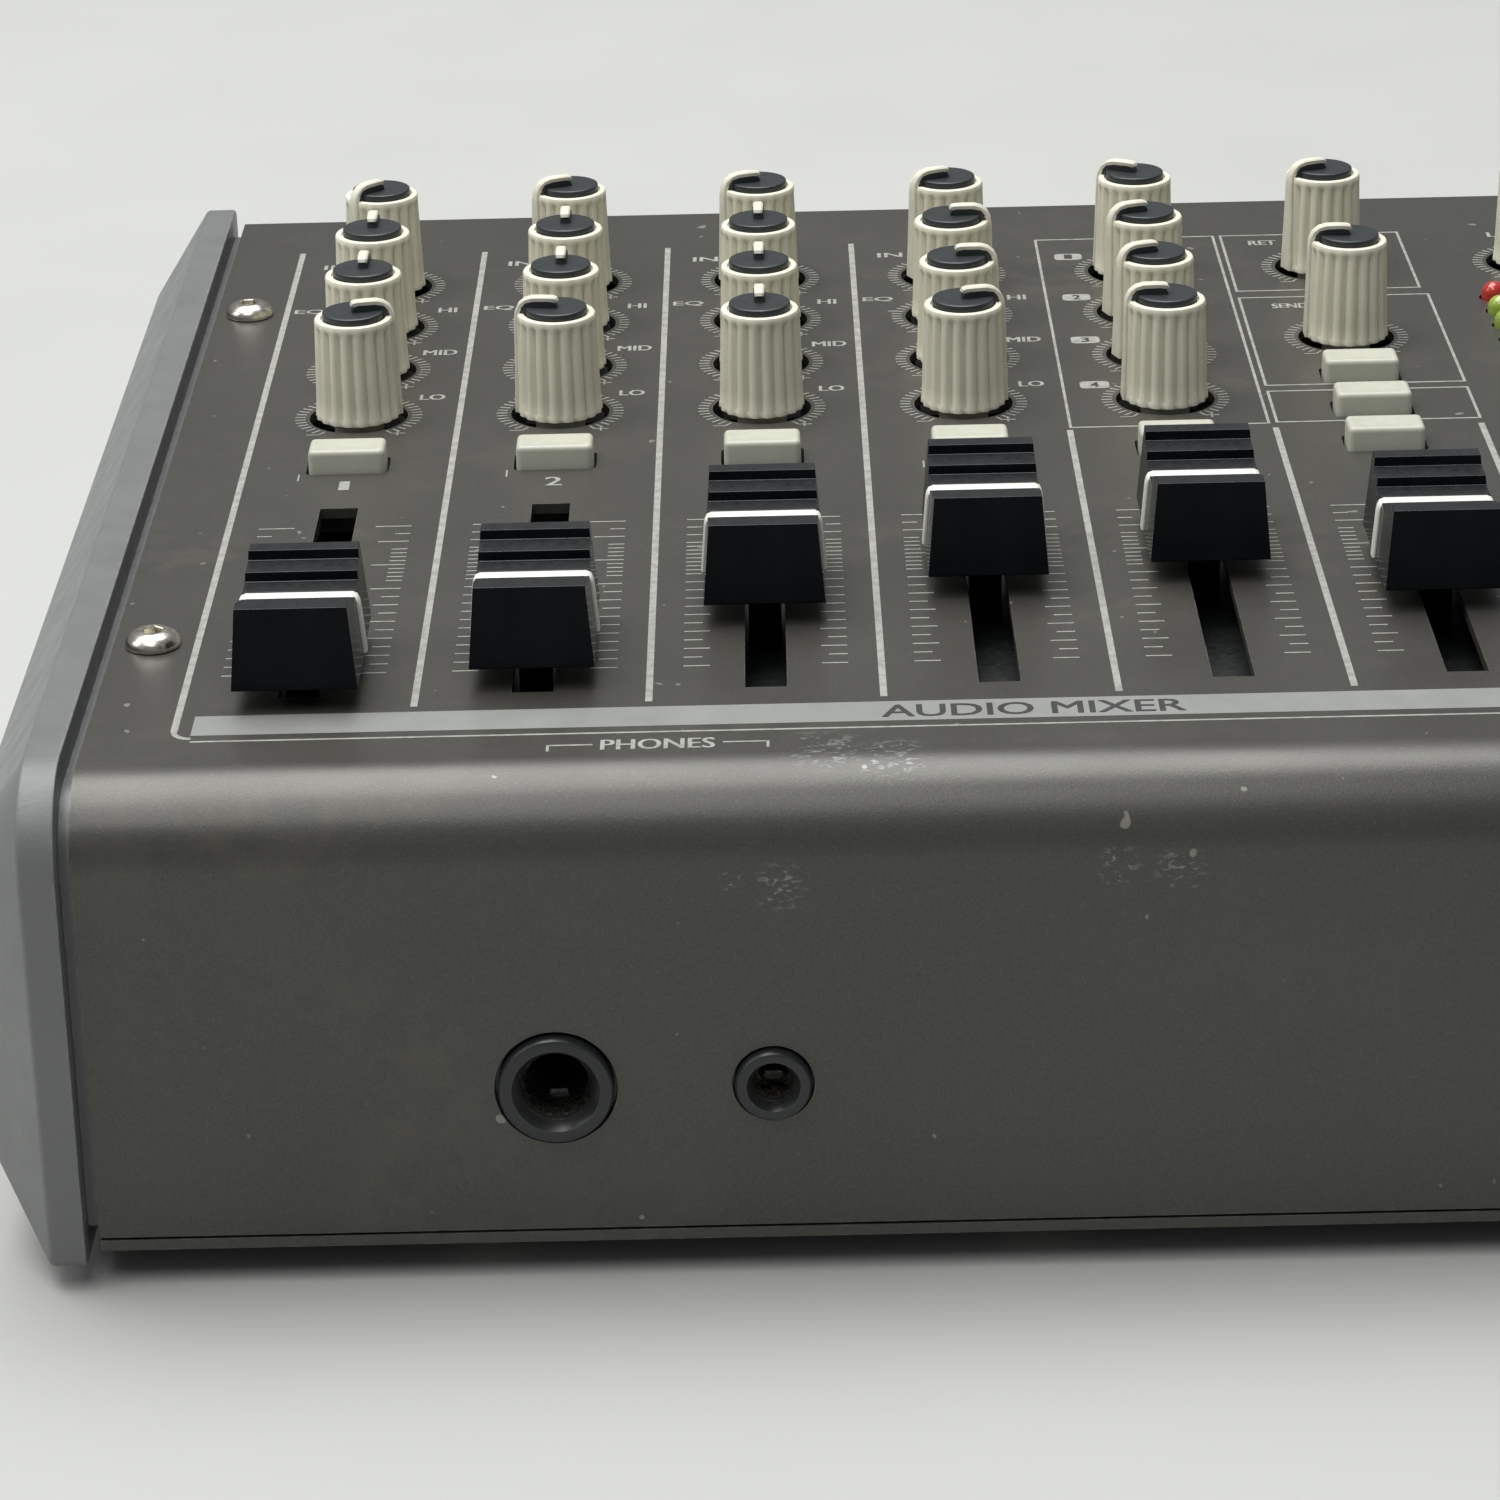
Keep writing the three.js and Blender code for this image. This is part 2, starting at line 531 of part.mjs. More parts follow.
place(mixer, 'phones_jack', toGeometry(jackSocket(LARGE_JACK)), jackBlack, PHONES_X, FRONT_Y, FRONT_JACK_Z);
place(mixer, 'phones_mini_jack', toGeometry(jackSocket(MINI_JACK)), jackBlack, MINI_X, FRONT_Y, FRONT_JACK_Z);
const inputGeometry = toGeometry(jackSocket(LARGE_JACK));
[1, 2, 3, 4].forEach((channel) => {
  place(mixer, `input_jack_${channel}`, inputGeometry, jackBlack, channelX(channel), REAR_Y, INPUT_JACK_Z)
    .rotation.z = Math.PI;
});
place(mixer, 'output_board', toGeometry(outputBoard()), jackBlack);
place(mixer, 'power_rocker', toGeometry(rocker()), jackBlack, POWER_SWITCH_X, REAR_Y - 0.6, POWER_Z)
  .rotation.x = ROCKER_TILT;

export default mixer;
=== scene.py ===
"""Looks of the compact audio mixer: case, print, knobs, fader caps, buttons, connectors and materials.

Lengths are millimetres until add_mesh() turns them into metres. "Along" runs up the panel from the
front corner, and "height" is the distance out of the panel.
"""
import math

import bmesh
import bpy
from mathutils import Matrix, Vector


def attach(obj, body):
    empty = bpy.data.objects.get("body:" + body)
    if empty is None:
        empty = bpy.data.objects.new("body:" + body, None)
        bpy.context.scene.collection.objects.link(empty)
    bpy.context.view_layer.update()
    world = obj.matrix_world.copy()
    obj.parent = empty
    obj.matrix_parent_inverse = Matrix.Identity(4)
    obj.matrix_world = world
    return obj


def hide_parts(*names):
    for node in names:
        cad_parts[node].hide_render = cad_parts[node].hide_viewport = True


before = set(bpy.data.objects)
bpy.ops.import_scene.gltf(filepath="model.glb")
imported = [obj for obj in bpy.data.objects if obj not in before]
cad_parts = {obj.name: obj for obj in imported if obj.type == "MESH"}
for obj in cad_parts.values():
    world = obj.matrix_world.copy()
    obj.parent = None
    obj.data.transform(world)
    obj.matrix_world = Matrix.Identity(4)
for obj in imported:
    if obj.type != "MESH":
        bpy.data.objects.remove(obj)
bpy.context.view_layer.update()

MM = 0.001
TAU = 2 * math.pi

# ---- dimensions shared with the CAD ----
SHEET = 1.2
CLEARANCE = 0.3
PANEL_SLOPE = math.radians(1)
CASE_WIDTH = 195.9
CASE_DEPTH = 197
CASE_BOTTOM = 4
FRONT_CORNER_Z = 54.7
FRONT_BEND = 9
REAR_BEND = 2.5
REAR_FLANGE = 12
CHEEK_PROUD = 1.4
CHEEK_BOTTOM = 2.6
CHEEK_RIM = 3.75
CHEEK_BEVEL = 6.7
CHEEK_BEVEL_INSET = 9.5
CHEEK_WIDTH = 219.6
CHANNEL_PITCH = 24.5
FIRST_CHANNEL_X = -76.6
MAIN_X = 73.6
ROW_PITCH = 17
LOW_ROW = 114.2
GAIN_ROW = LOW_ROW + 3 * ROW_PITCH
RETURN_ROW = 136.2
BUTTON_ROW = 96.8
BUTTON_PITCH = 12.3
SLOT_START = 25.9
SLOT_END = 82.4
SLOT_WIDTH = 4.4
KNOB_HOLE = 6
KNOB_BASE = 5.1
KNOB_TOP = 4.7
KNOB_LIFT = 0.3
KNOB_RIM = 12.8
DISC_RADIUS = 3.72
DISC_TOP = 13.55
SHAFT_RADIUS = 3
POT_TOP = -5.5
BUTTON_WIDTH = 9.1
BUTTON_DEPTH = 5
BUTTON_HEIGHT = 2.7
CAP_HALF = 10.3
CAP_BOTTOM = 2.4
CAP_CREST = 11.35
LED_RADIUS = 1.5
LED_PITCH = 5.7
LED_START = 127.8
LED_OFFSET = 7.2
LED_ROWS = 5
SCREW_HEAD = 3
SCREW_SHANK = 1.5
PANEL_SCREW_X = 93.6
PANEL_SCREW_ROWS = (41.4, 154.8)
FOOT_RADIUS = 6.5
FOOT_X = 82
FOOT_Y = 80
PHONES_X = -50
MINI_X = -27.7
FRONT_JACK_Z = 21.7
JACK_HOLE = 6.35
MINI_HOLE = 4.25
INPUT_JACK_Z = 30
PHONO_X = (14, 31, 48)
PHONO_Z = (17, 34)
PHONO_REACH = 8.5
POWER_INLET_X = 66.5
POWER_SWITCH_X = 84
POWER_Z = 25
ROCKER_WIDTH = 7.6
ROCKER_HEIGHT = 15
ROCKER_TILT = math.radians(8)
FRONT_Y = CHEEK_PROUD - (CASE_DEPTH + CHEEK_PROUD + PHONO_REACH) / 2
REAR_Y = FRONT_Y + CASE_DEPTH
REAR_CORNER_Z = FRONT_CORNER_Z + CASE_DEPTH * math.tan(PANEL_SLOPE)

PANEL = Matrix.Translation((0, FRONT_Y * MM, FRONT_CORNER_Z * MM)) @ Matrix.Rotation(PANEL_SLOPE, 4, "X")


def channel_x(channel):
    return FIRST_CHANNEL_X + (channel - 1) * CHANNEL_PITCH


KNOBS = []
for channel, pointers in enumerate(((80, 0, 0, -135), (-85, 0, 0, -115), (0, 0, 0, -110), (80, 90, 90, -115)), 1):
    for row, (label, pointer) in enumerate(zip(("low", "mid", "high", "gain"), pointers)):
        KNOBS.append((f"ch{channel}_{label}_knob", channel_x(channel), LOW_ROW + row * ROW_PITCH, pointer))
for row, pointer in enumerate((-92, -110, -110, -65)):
    KNOBS.append((f"aux_knob_{4 - row}", channel_x(5), LOW_ROW + row * ROW_PITCH, pointer))
KNOBS.append(("return_knob_upper", channel_x(6), GAIN_ROW, -112))
KNOBS.append(("return_knob_lower", channel_x(6), RETURN_ROW, -90))
KNOBS.append(("phones_level_knob", MAIN_X, GAIN_ROW, 0))

FADER_DOWN = 32.1
FADER_TRAVEL = 44
FADER_RAISED = {1: 0, 2: 4.6, 3: 21.4, 4: 28.3, 5: 31.3, 6: 21.2}
FADERS = [(f"ch{k}_fader", channel_x(k), FADER_DOWN + raised) for k, raised in FADER_RAISED.items()]
FADERS.append(("main_fader", MAIN_X, FADER_DOWN + 31.3))

BUTTONS = [(f"ch{k}_button", channel_x(k), BUTTON_ROW) for k in range(1, 6)]
BUTTONS += [(f"assign_button_{k}", channel_x(6), BUTTON_ROW + (3 - k) * BUTTON_PITCH) for k in (1, 2, 3)]


# ---- materials ----
class Nodes:
    """A short way to build one material's node tree."""

    def __init__(self, name):
        self.material = bpy.data.materials.new(name)
        self.material.use_nodes = True
        self.tree = self.material.node_tree
        self.shader = self.tree.nodes["Principled BSDF"]
        self.place = self.tree.nodes.new("ShaderNodeTexCoord").outputs["Object"]

    def link(self, source, target):
        self.tree.links.new(source, target)

    def noise(self, scale, detail=3.0, stretch=None, distortion=0.0):
        node = self.tree.nodes.new("ShaderNodeTexNoise")
        node.inputs["Scale"].default_value = scale
        node.inputs["Detail"].default_value = detail
        node.inputs["Distortion"].default_value = distortion
        source = self.place
        if stretch:
            mapping = self.tree.nodes.new("ShaderNodeMapping")
            mapping.inputs["Scale"].default_value = stretch
            self.link(source, mapping.inputs["Vector"])
            source = mapping.outputs["Vector"]
        self.link(source, node.inputs["Vector"])
        return node.outputs["Fac"]

    def spread(self, value, low, high, to_low, to_high):
        node = self.tree.nodes.new("ShaderNodeMapRange")
        node.inputs["From Min"].default_value = low
        node.inputs["From Max"].default_value = high
        node.inputs["To Min"].default_value = to_low
        node.inputs["To Max"].default_value = to_high
        self.link(value, node.inputs["Value"])
        return node.outputs["Result"]

    def blend(self, factor, first, second):
        node = self.tree.nodes.new("ShaderNodeMix")
        node.data_type = "RGBA"
        self.link(factor, node.inputs["Factor"])
        for socket, value in ((node.inputs["A"], first), (node.inputs["B"], second)):
            if isinstance(value, tuple):
                socket.default_value = (*value, 1)
            else:
                self.link(value, socket)
        return node.outputs["Result"]

    def edges(self, radius):
        """1 along the edges of large faces, 0 away from them."""
        bevel = self.tree.nodes.new("ShaderNodeBevel")
        bevel.samples = 4
        bevel.inputs["Radius"].default_value = radius
        geometry = self.tree.nodes.new("ShaderNodeNewGeometry")
        dot = self.tree.nodes.new("ShaderNodeVectorMath")
        dot.operation = "DOT_PRODUCT"
        self.link(bevel.outputs["Normal"], dot.inputs[0])
        self.link(geometry.outputs["Normal"], dot.inputs[1])
        return self.spread(dot.outputs["Value"], 0.99, 0.88, 0, 1)

    def ridges(self, low, high):
        """1 on the ridges of a finely meshed surface, or in its grooves when low is above high."""
        geometry = self.tree.nodes.new("ShaderNodeNewGeometry")
        return self.spread(geometry.outputs["Pointiness"], low, high, 0, 1)

    def near(self, place, radius):
        """1 at a place in metres, falling to 0 at a distance."""
        distance = self.tree.nodes.new("ShaderNodeVectorMath")
        distance.operation = "DISTANCE"
        distance.inputs[1].default_value = place
        self.link(self.place, distance.inputs[0])
        return self.spread(distance.outputs["Value"], 0, radius, 1, 0)

    def multiply(self, first, second):
        node = self.tree.nodes.new("ShaderNodeMath")
        node.operation = "MULTIPLY"
        self.link(first, node.inputs[0])
        self.link(second, node.inputs[1])
        return node.outputs["Value"]

    def bump(self, value, strength, depth):
        node = self.tree.nodes.new("ShaderNodeBump")
        node.inputs["Strength"].default_value = strength
        node.inputs["Distance"].default_value = depth
        self.link(value, node.inputs["Height"])
        self.link(node.outputs["Normal"], self.shader.inputs["Normal"])


def shade(color, factor):
    return tuple(channel * factor for channel in color)


def surface(name, color, roughness, metallic=0.0, grain=2500, relief=0.08, mottle=0.12, mottle_scale=60,
            worn=None, worn_radius=0.0003, coat=0.0, specular=0.5):
    """A moulded, painted or plated finish: mottled colour, uneven gloss, fine relief and worn edges, which on the
    cheeks are partly wear and partly a painted highlight.
    """
    nodes = Nodes(name)
    patches = nodes.spread(nodes.noise(mottle_scale, 5), 0.3, 0.7, 0, 1)
    tint = nodes.blend(patches, shade(color, 1 - mottle), shade(color, 1 + mottle))
    if worn:
        # Edge colour: wear on most parts; on the cheeks the paler edges are partly wear and partly a painted
        # highlight.
        rub = nodes.multiply(nodes.edges(worn_radius), nodes.spread(nodes.noise(700, 4), 0.35, 0.65, 0, 1))
        tint = nodes.blend(rub, tint, worn)
    nodes.link(tint, nodes.shader.inputs["Base Color"])
    gloss = nodes.spread(nodes.noise(mottle_scale * 4, 4), 0.25, 0.75, roughness * 0.82, roughness * 1.2)
    nodes.link(gloss, nodes.shader.inputs["Roughness"])
    nodes.shader.inputs["Metallic"].default_value = metallic
    nodes.shader.inputs["Coat Weight"].default_value = coat
    nodes.shader.inputs["Specular IOR Level"].default_value = specular
    nodes.bump(nodes.noise(grain, 2), relief, 0.0002)
    return nodes.material


SCUFFS = (((-0.022, -0.0922, 0.0549), 0.005), ((-0.015, -0.0945, 0.0548), 0.0045), ((0.0148, -0.0998, 0.0547), 0.002),
          ((-0.0316, -0.102, 0.0444), 0.0015), ((-0.0266, -0.102, 0.0436), 0.0032), ((0.0075, -0.102, 0.0453), 0.0026),
          ((0.0138, -0.102, 0.0449), 0.003))


def case_paint():
    """Fine-texture metallic paint with faint dust, and a few places where it has been scratched."""
    nodes = Nodes("case_paint_finish")
    base = (0.066, 0.064, 0.056)
    patches = nodes.spread(nodes.noise(24, 5, distortion=0.4), 0.3, 0.7, 0, 1)
    tint = nodes.blend(patches, shade(base, 0.95), shade(base, 1.05))
    flecks = nodes.spread(nodes.noise(5200, 2), 0.5, 0.72, 0, 0.3)
    tint = nodes.blend(flecks, tint, (0.15, 0.145, 0.125))
    dust = nodes.multiply(
        nodes.spread(nodes.noise(26, 5, stretch=(0.6, 2, 1), distortion=0.6), 0.5, 0.72, 0, 0.4),
        nodes.spread(nodes.noise(240, 6), 0.44, 0.62, 0, 1))
    tint = nodes.blend(dust, tint, (0.115, 0.108, 0.088))
    specks = nodes.spread(nodes.noise(420, 1), 0.775, 0.8, 0, 0.7)
    tint = nodes.blend(specks, tint, (0.3, 0.29, 0.26))
    scratched = nodes.spread(nodes.noise(1900, 5, stretch=(0.5, 1, 1), distortion=0.7), 0.55, 0.63, 0, 0.5)
    for place, radius in SCUFFS:
        mark = nodes.multiply(nodes.spread(nodes.near(place, radius), 0, 0.55, 0, 1), scratched)
        tint = nodes.blend(mark, tint, (0.33, 0.33, 0.33))
    rub = nodes.multiply(nodes.edges(0.00025), nodes.spread(nodes.noise(600, 3), 0.45, 0.62, 0, 0.6))
    tint = nodes.blend(rub, tint, (0.2, 0.2, 0.185))
    nodes.link(tint, nodes.shader.inputs["Base Color"])
    nodes.link(nodes.spread(nodes.noise(60, 4), 0.25, 0.75, 0.3, 0.38), nodes.shader.inputs["Roughness"])
    nodes.shader.inputs["Metallic"].default_value = 0.3
    nodes.bump(nodes.noise(4200, 2), 0.12, 0.0001)
    return nodes.material


def knob_plastic():
    """Cream plastic whose ridges are rubbed pale and whose grooves are darkened with painted shade."""
    nodes = Nodes("knob_finish")
    patches = nodes.spread(nodes.noise(170, 5), 0.3, 0.7, 0, 1)
    tint = nodes.blend(patches, shade(CREAM, 0.95), shade(CREAM, 1.05))
    # Grooves (low pointiness) turn dark: painted shade in the flutes.
    tint = nodes.blend(nodes.ridges(0.47, 0.4), tint, (0.36, 0.345, 0.265))
    rub = nodes.multiply(nodes.ridges(0.52, 0.6), nodes.spread(nodes.noise(600, 4), 0.3, 0.6, 0.3, 1))
    tint = nodes.blend(rub, tint, (0.62, 0.61, 0.51))
    nodes.link(tint, nodes.shader.inputs["Base Color"])
    nodes.link(nodes.spread(nodes.noise(500, 4), 0.25, 0.75, 0.36, 0.5), nodes.shader.inputs["Roughness"])
    nodes.bump(nodes.noise(3600, 2), 0.06, 0.0001)
    return nodes.material


def white_print():
    """Screen-printed ink, thinner and duller where it has rubbed."""
    nodes = Nodes("print_ink")
    wear = nodes.spread(nodes.noise(800, 4), 0.38, 0.6, 0.5, 0)
    nodes.link(nodes.blend(wear, (0.34, 0.34, 0.31), (0.17, 0.17, 0.15)), nodes.shader.inputs["Base Color"])
    nodes.link(nodes.spread(nodes.noise(500), 0.3, 0.7, 0.45, 0.6), nodes.shader.inputs["Roughness"])
    nodes.bump(nodes.noise(4000, 2), 0.05, 0.0001)
    return nodes.material


CREAM = (0.78, 0.755, 0.6)
PAINT = case_paint()
INK = white_print()
BAND_INK = surface("band_ink", (0.235, 0.24, 0.225), 0.5, relief=0.04, mottle=0.08)
DARK_INK = surface("dark_ink", (0.03, 0.03, 0.03), 0.5, relief=0.04)
# The cheek's paler edge colour is partly wear and partly a painted highlight along its edges.
CHEEK_FINISH = surface("cheek_finish", (0.155, 0.16, 0.158), 0.4, relief=0.12, grain=2600, mottle=0.05,
                       worn=(0.26, 0.265, 0.26), worn_radius=0.0006)
KNOB_FINISH = knob_plastic()
DISC_FINISH = surface("disc_finish", (0.024, 0.029, 0.03), 0.36, grain=3600, relief=0.1, mottle=0.15,
                      mottle_scale=500)
CAP_FINISH = surface("cap_finish", (0.0035, 0.0045, 0.006), 0.16, grain=2400, relief=0.03, mottle=0.3,
                     mottle_scale=300, specular=0.08)
# Faces of the fader cap that point up: the same black plastic, painted lighter as painted light on the lit treads.
PAINTED_LIT_TREAD_FINISH = surface("painted_lit_tread_finish", (0.012, 0.0135, 0.015), 0.3, grain=2400, relief=0.05, mottle=0.25,
                       mottle_scale=300)
CAP_LINE_FINISH = surface("cap_line_finish", (0.8, 0.79, 0.7), 0.4, relief=0.04, mottle=0.05)
BUTTON_FINISH = surface("button_finish", (0.48, 0.485, 0.4), 0.42, grain=3000, relief=0.07, mottle=0.06,
                        mottle_scale=220, worn=(0.42, 0.42, 0.36))
NICKEL = surface("nickel_finish", (0.72, 0.69, 0.6), 0.26, metallic=1.0, relief=0.05, mottle=0.16,
                 mottle_scale=400)
BLACK_PLASTIC = surface("black_plastic", (0.016, 0.017, 0.019), 0.34, relief=0.08, mottle=0.2,
                        worn=(0.07, 0.07, 0.07))
BORE_BLACK = surface("bore_black", (0.004, 0.004, 0.005), 0.6, relief=0.05)
RUBBER = surface("rubber_finish", (0.012, 0.012, 0.013), 0.75, grain=1500, relief=0.2, mottle=0.3)
BOARD_FINISH = surface("board_finish", (0.006, 0.009, 0.008), 0.5, relief=0.1, mottle=0.35, mottle_scale=300)
RED_LAMP = surface("red_lamp", (0.45, 0.03, 0.02), 0.15, relief=0.02, coat=0.5)
GREEN_LAMP = surface("green_lamp", (0.3, 0.42, 0.06), 0.15, relief=0.02, coat=0.5)
RED_PLASTIC = surface("red_plastic", (0.4, 0.02, 0.02), 0.35)
PALE_PLASTIC = surface("pale_plastic", (0.6, 0.6, 0.56), 0.35)


# ---- mesh building ----
class Shape:
    """Points and faces in millimetres, with a material number on each face."""

    def __init__(self):
        self.points = []
        self.faces = []
        self.numbers = []

    def skin(self, rings, number=0, closed_ends=True):
        """Join rings of equal count into one closed skin."""
        count = len(rings[0])
        start = len(self.points)
        for ring in rings:
            self.points.extend(ring)
        for level in range(len(rings) - 1):
            for i in range(count):
                a = start + level * count + i
                b = start + level * count + (i + 1) % count
                self.faces.append((a, b, b + count, a + count))
                self.numbers.append(number)
        if closed_ends:
            last = start + (len(rings) - 1) * count
            self.faces.append(tuple(range(start + count - 1, start - 1, -1)))
            self.faces.append(tuple(range(last, last + count)))
            self.numbers.extend((number, number))
        return self

    def slab(self, outline, low, high, number=0):
        """A flat plate between two heights over an outline of (x, y) points."""
        return self.skin([[(x, y, h) for x, y in outline] for h in (low, high)], number)

    def mesh(self, name, materials, matrix=None, smooth=None):
        mesh = bpy.data.meshes.new(name)
        mesh.from_pydata([Vector(point) * MM for point in self.points], [], self.faces)
        for material in materials:
            mesh.materials.append(material)
        mesh.polygons.foreach_set("material_index", self.numbers)
        if matrix:
            mesh.transform(matrix)
        tidy = bmesh.new()
        tidy.from_mesh(mesh)
        bmesh.ops.recalc_face_normals(tidy, faces=tidy.faces)
        tidy.to_mesh(mesh)
        tidy.free()
        if smooth is not None:
            mesh.shade_smooth()
            mesh.set_sharp_from_angle(angle=math.radians(smooth))
        return mesh


def add_mesh(name, mesh, body, replaces=(), matrix=None, bevel=None):
    """Place a mesh in the scene, riding on a CAD body."""
    piece = bpy.data.objects.new(name, mesh)
    bpy.context.scene.collection.objects.link(piece)
    if matrix:
        piece.matrix_world = matrix
    if bevel:
        modifier = piece.modifiers.new("edge", "BEVEL")
        modifier.width = bevel * MM
        modifier.segments = 3
        modifier.limit_method = "ANGLE"
        modifier.angle_limit = math.radians(28)
        modifier.harden_normals = True
    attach(piece, body)
    if replaces:
        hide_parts(*replaces)
    return piece


def ring_points(radius_at, height, count=48):
    """A closed ring whose radius is a number or a function of the angle, at one height."""
    ring = []
    for i in range(count):
        angle = TAU * i / count
        radius = radius_at(angle) if callable(radius_at) else radius_at
        ring.append((radius * math.sin(angle), radius * math.cos(angle), height))
    return ring


def polygon_radius(apothem, sides):
    """Radius of a regular polygon at an angle."""
    step = TAU / sides
    return lambda angle: apothem / math.cos((angle + step / 2) % step - step / 2)


def rounded_rectangle(width, depth, radius, steps=5, x=0.0, y=0.0):
    """Outline of a rectangle with round corners, counter-clockwise."""
    outline = []
    for corner, (sx, sy) in enumerate(((1, 1), (-1, 1), (-1, -1), (1, -1))):
        for step in range(steps + 1):
            angle = math.pi / 2 * (corner + step / steps)
            outline.append((x + sx * (width / 2 - radius) + radius * math.cos(angle),
                            y + sy * (depth / 2 - radius) + radius * math.sin(angle)))
    return outline


def block_outline(width, depth, x=0.0, y=0.0):
    half_x, half_y = width / 2, depth / 2
    return [(x - half_x, y - half_y), (x + half_x, y - half_y), (x + half_x, y + half_y), (x - half_x, y + half_y)]


def facing_front(points, x, y, z):
    """Turn a shape made along its own +Z so that it points towards -Y, and move it there."""
    return [(x + px, y - pz, z + py) for px, py, pz in points]


def facing_rear(points, x, y, z):
    return [(x - px, y + pz, z + py) for px, py, pz in points]


# ---- case ----
def round_corner(before, corner, after, radius, steps):
    """Points along the arc that rounds a corner of a clockwise outline, each with its outward normal."""
    arriving = (corner - before).normalized()
    leaving = (after - corner).normalized()
    turn = math.atan2(arriving.x * leaving.y - arriving.y * leaving.x, arriving.dot(leaving))
    tangent = radius * math.tan(abs(turn) / 2)
    centre = corner - arriving * tangent - Vector((-arriving.y, arriving.x)) * radius
    start_angle = math.atan2(arriving.x, -arriving.y)
    arc = []
    for step in range(steps + 1):
        angle = start_angle + turn * step / steps
        normal = Vector((math.cos(angle), math.sin(angle)))
        arc.append((centre + normal * radius, normal))
    return arc


def top_sheet_outline():
    """The bent sheet in the YZ plane: outer face, then inner face backwards."""
    bottom = CASE_BOTTOM + SHEET + CLEARANCE
    corners = [Vector(c) for c in ((FRONT_Y, bottom), (FRONT_Y, FRONT_CORNER_Z), (REAR_Y, REAR_CORNER_Z),
                                   (REAR_Y, REAR_CORNER_Z - REAR_FLANGE))]
    path = [(corners[0], Vector((-1, 0)))]
    path += round_corner(*corners[:3], FRONT_BEND, 26)
    path += round_corner(*corners[1:], REAR_BEND, 12)
    path.append((corners[3], Vector((1, 0))))
    outer = [point for point, _ in path]
    inner = [point - normal * SHEET for point, normal in path]
    return outer + inner[::-1]


def panel_cutters():
    """Every opening of the panel as one mesh in panel coordinates."""
    low, high = -3 * SHEET, 2 * SHEET
    cutters = Shape()
    for _, x, along, _ in KNOBS:
        cutters.skin([[(x + px, along + py, h) for px, py, _ in ring_points(KNOB_HOLE, 0, 40)] for h in (low, high)])
    for _, x, _ in FADERS:
        middle = (SLOT_START + SLOT_END) / 2
        cutters.slab(block_outline(SLOT_WIDTH, SLOT_END - SLOT_START, x, middle), low, high)
    for _, x, along in BUTTONS:
        cutters.slab(rounded_rectangle(BUTTON_WIDTH + 0.7, BUTTON_DEPTH + 0.7, 0.7, 4, x, along), low, high)
    for x, along in led_places():
        cutters.skin([[(x + px, along + py, h) for px, py, _ in ring_points(LED_RADIUS + 0.3, 0, 24)]
                      for h in (low, high)])
    for along in PANEL_SCREW_ROWS:
        for x in (-PANEL_SCREW_X, PANEL_SCREW_X):
            hole = ring_points(SCREW_SHANK + CLEARANCE, 0, 24)
            cutters.skin([[(x + px, along + py, h) for px, py, _ in hole] for h in (low, high)])
    return cutters


def led_places():
    return [(MAIN_X + offset, LED_START + row * LED_PITCH)
            for offset in (-LED_OFFSET, LED_OFFSET) for row in range(LED_ROWS)]


def cut_with(mesh, cutter_meshes, name):
    """A new mesh: the first one with the cutters taken out of it."""
    body = bpy.data.objects.new("cut_body", mesh)
    bpy.context.scene.collection.objects.link(body)
    tools = []
    for cutter in cutter_meshes:
        tool = bpy.data.objects.new("cut_tool", cutter)
        bpy.context.scene.collection.objects.link(tool)
        modifier = body.modifiers.new("cut", "BOOLEAN")
        modifier.object = tool
        modifier.solver = "EXACT"
        tools.append(tool)
    bpy.context.view_layer.update()
    evaluated = body.evaluated_get(bpy.context.evaluated_depsgraph_get())
    result = bpy.data.meshes.new_from_object(evaluated)
    result.name = name
    for thing in (body, *tools):
        bpy.data.objects.remove(thing)
    return result


def make_top_case():
    sheet = Shape()
    half = CASE_WIDTH / 2
    outline = top_sheet_outline()
    sheet.skin([[(x, p.x, p.y) for p in outline] for x in (-half, half)])
    fronts = Shape()
    for radius, x in ((JACK_HOLE, PHONES_X), (MINI_HOLE, MINI_X)):
        ring = ring_points(radius, 0, 48)
        fronts.skin([[(x + px, FRONT_Y + y, FRONT_JACK_Z + py) for px, py, _ in ring] for y in (-3, 3)])
    cutters = [panel_cutters().mesh("panel_cuts", (), PANEL), fronts.mesh("front_cuts", ())]
    mesh = cut_with(sheet.mesh("top_sheet", (PAINT,)), cutters, "top_sheet_cut")
    mesh.shade_smooth()
    mesh.set_sharp_from_angle(angle=math.radians(25))
    piece = add_mesh("top_sheet", mesh, "case", ("top_case",))
    weighted = piece.modifiers.new("normals", "WEIGHTED_NORMAL")
    weighted.keep_sharp = True
    weighted.weight = 100


# ---- print ----
INK_LOW = -0.02
INK_HIGH = 0.03
LETTER_HIGH = 0.06


def stripe(shape, x1, y1, x2, y2, width, number=0, high=INK_HIGH):
    """A printed line from one point to another."""
    run = Vector((x2 - x1, y2 - y1))
    side = Vector((-run.y, run.x)).normalized() * (width / 2)
    outline = [(x1 - side.x, y1 - side.y), (x2 - side.x, y2 - side.y),
               (x2 + side.x, y2 + side.y), (x1 + side.x, y1 + side.y)]
    shape.slab(outline, INK_LOW, high, number)


def frame_lines(shape, left, right, front, rear, width=0.35):
    """A printed box drawn as four lines that meet at the corners."""
    reach = width / 2
    for along in (front, rear):
        stripe(shape, left - reach, along, right + reach, along, width)
    for x in (left, right):
        stripe(shape, x, front + reach, x, rear - reach, width)


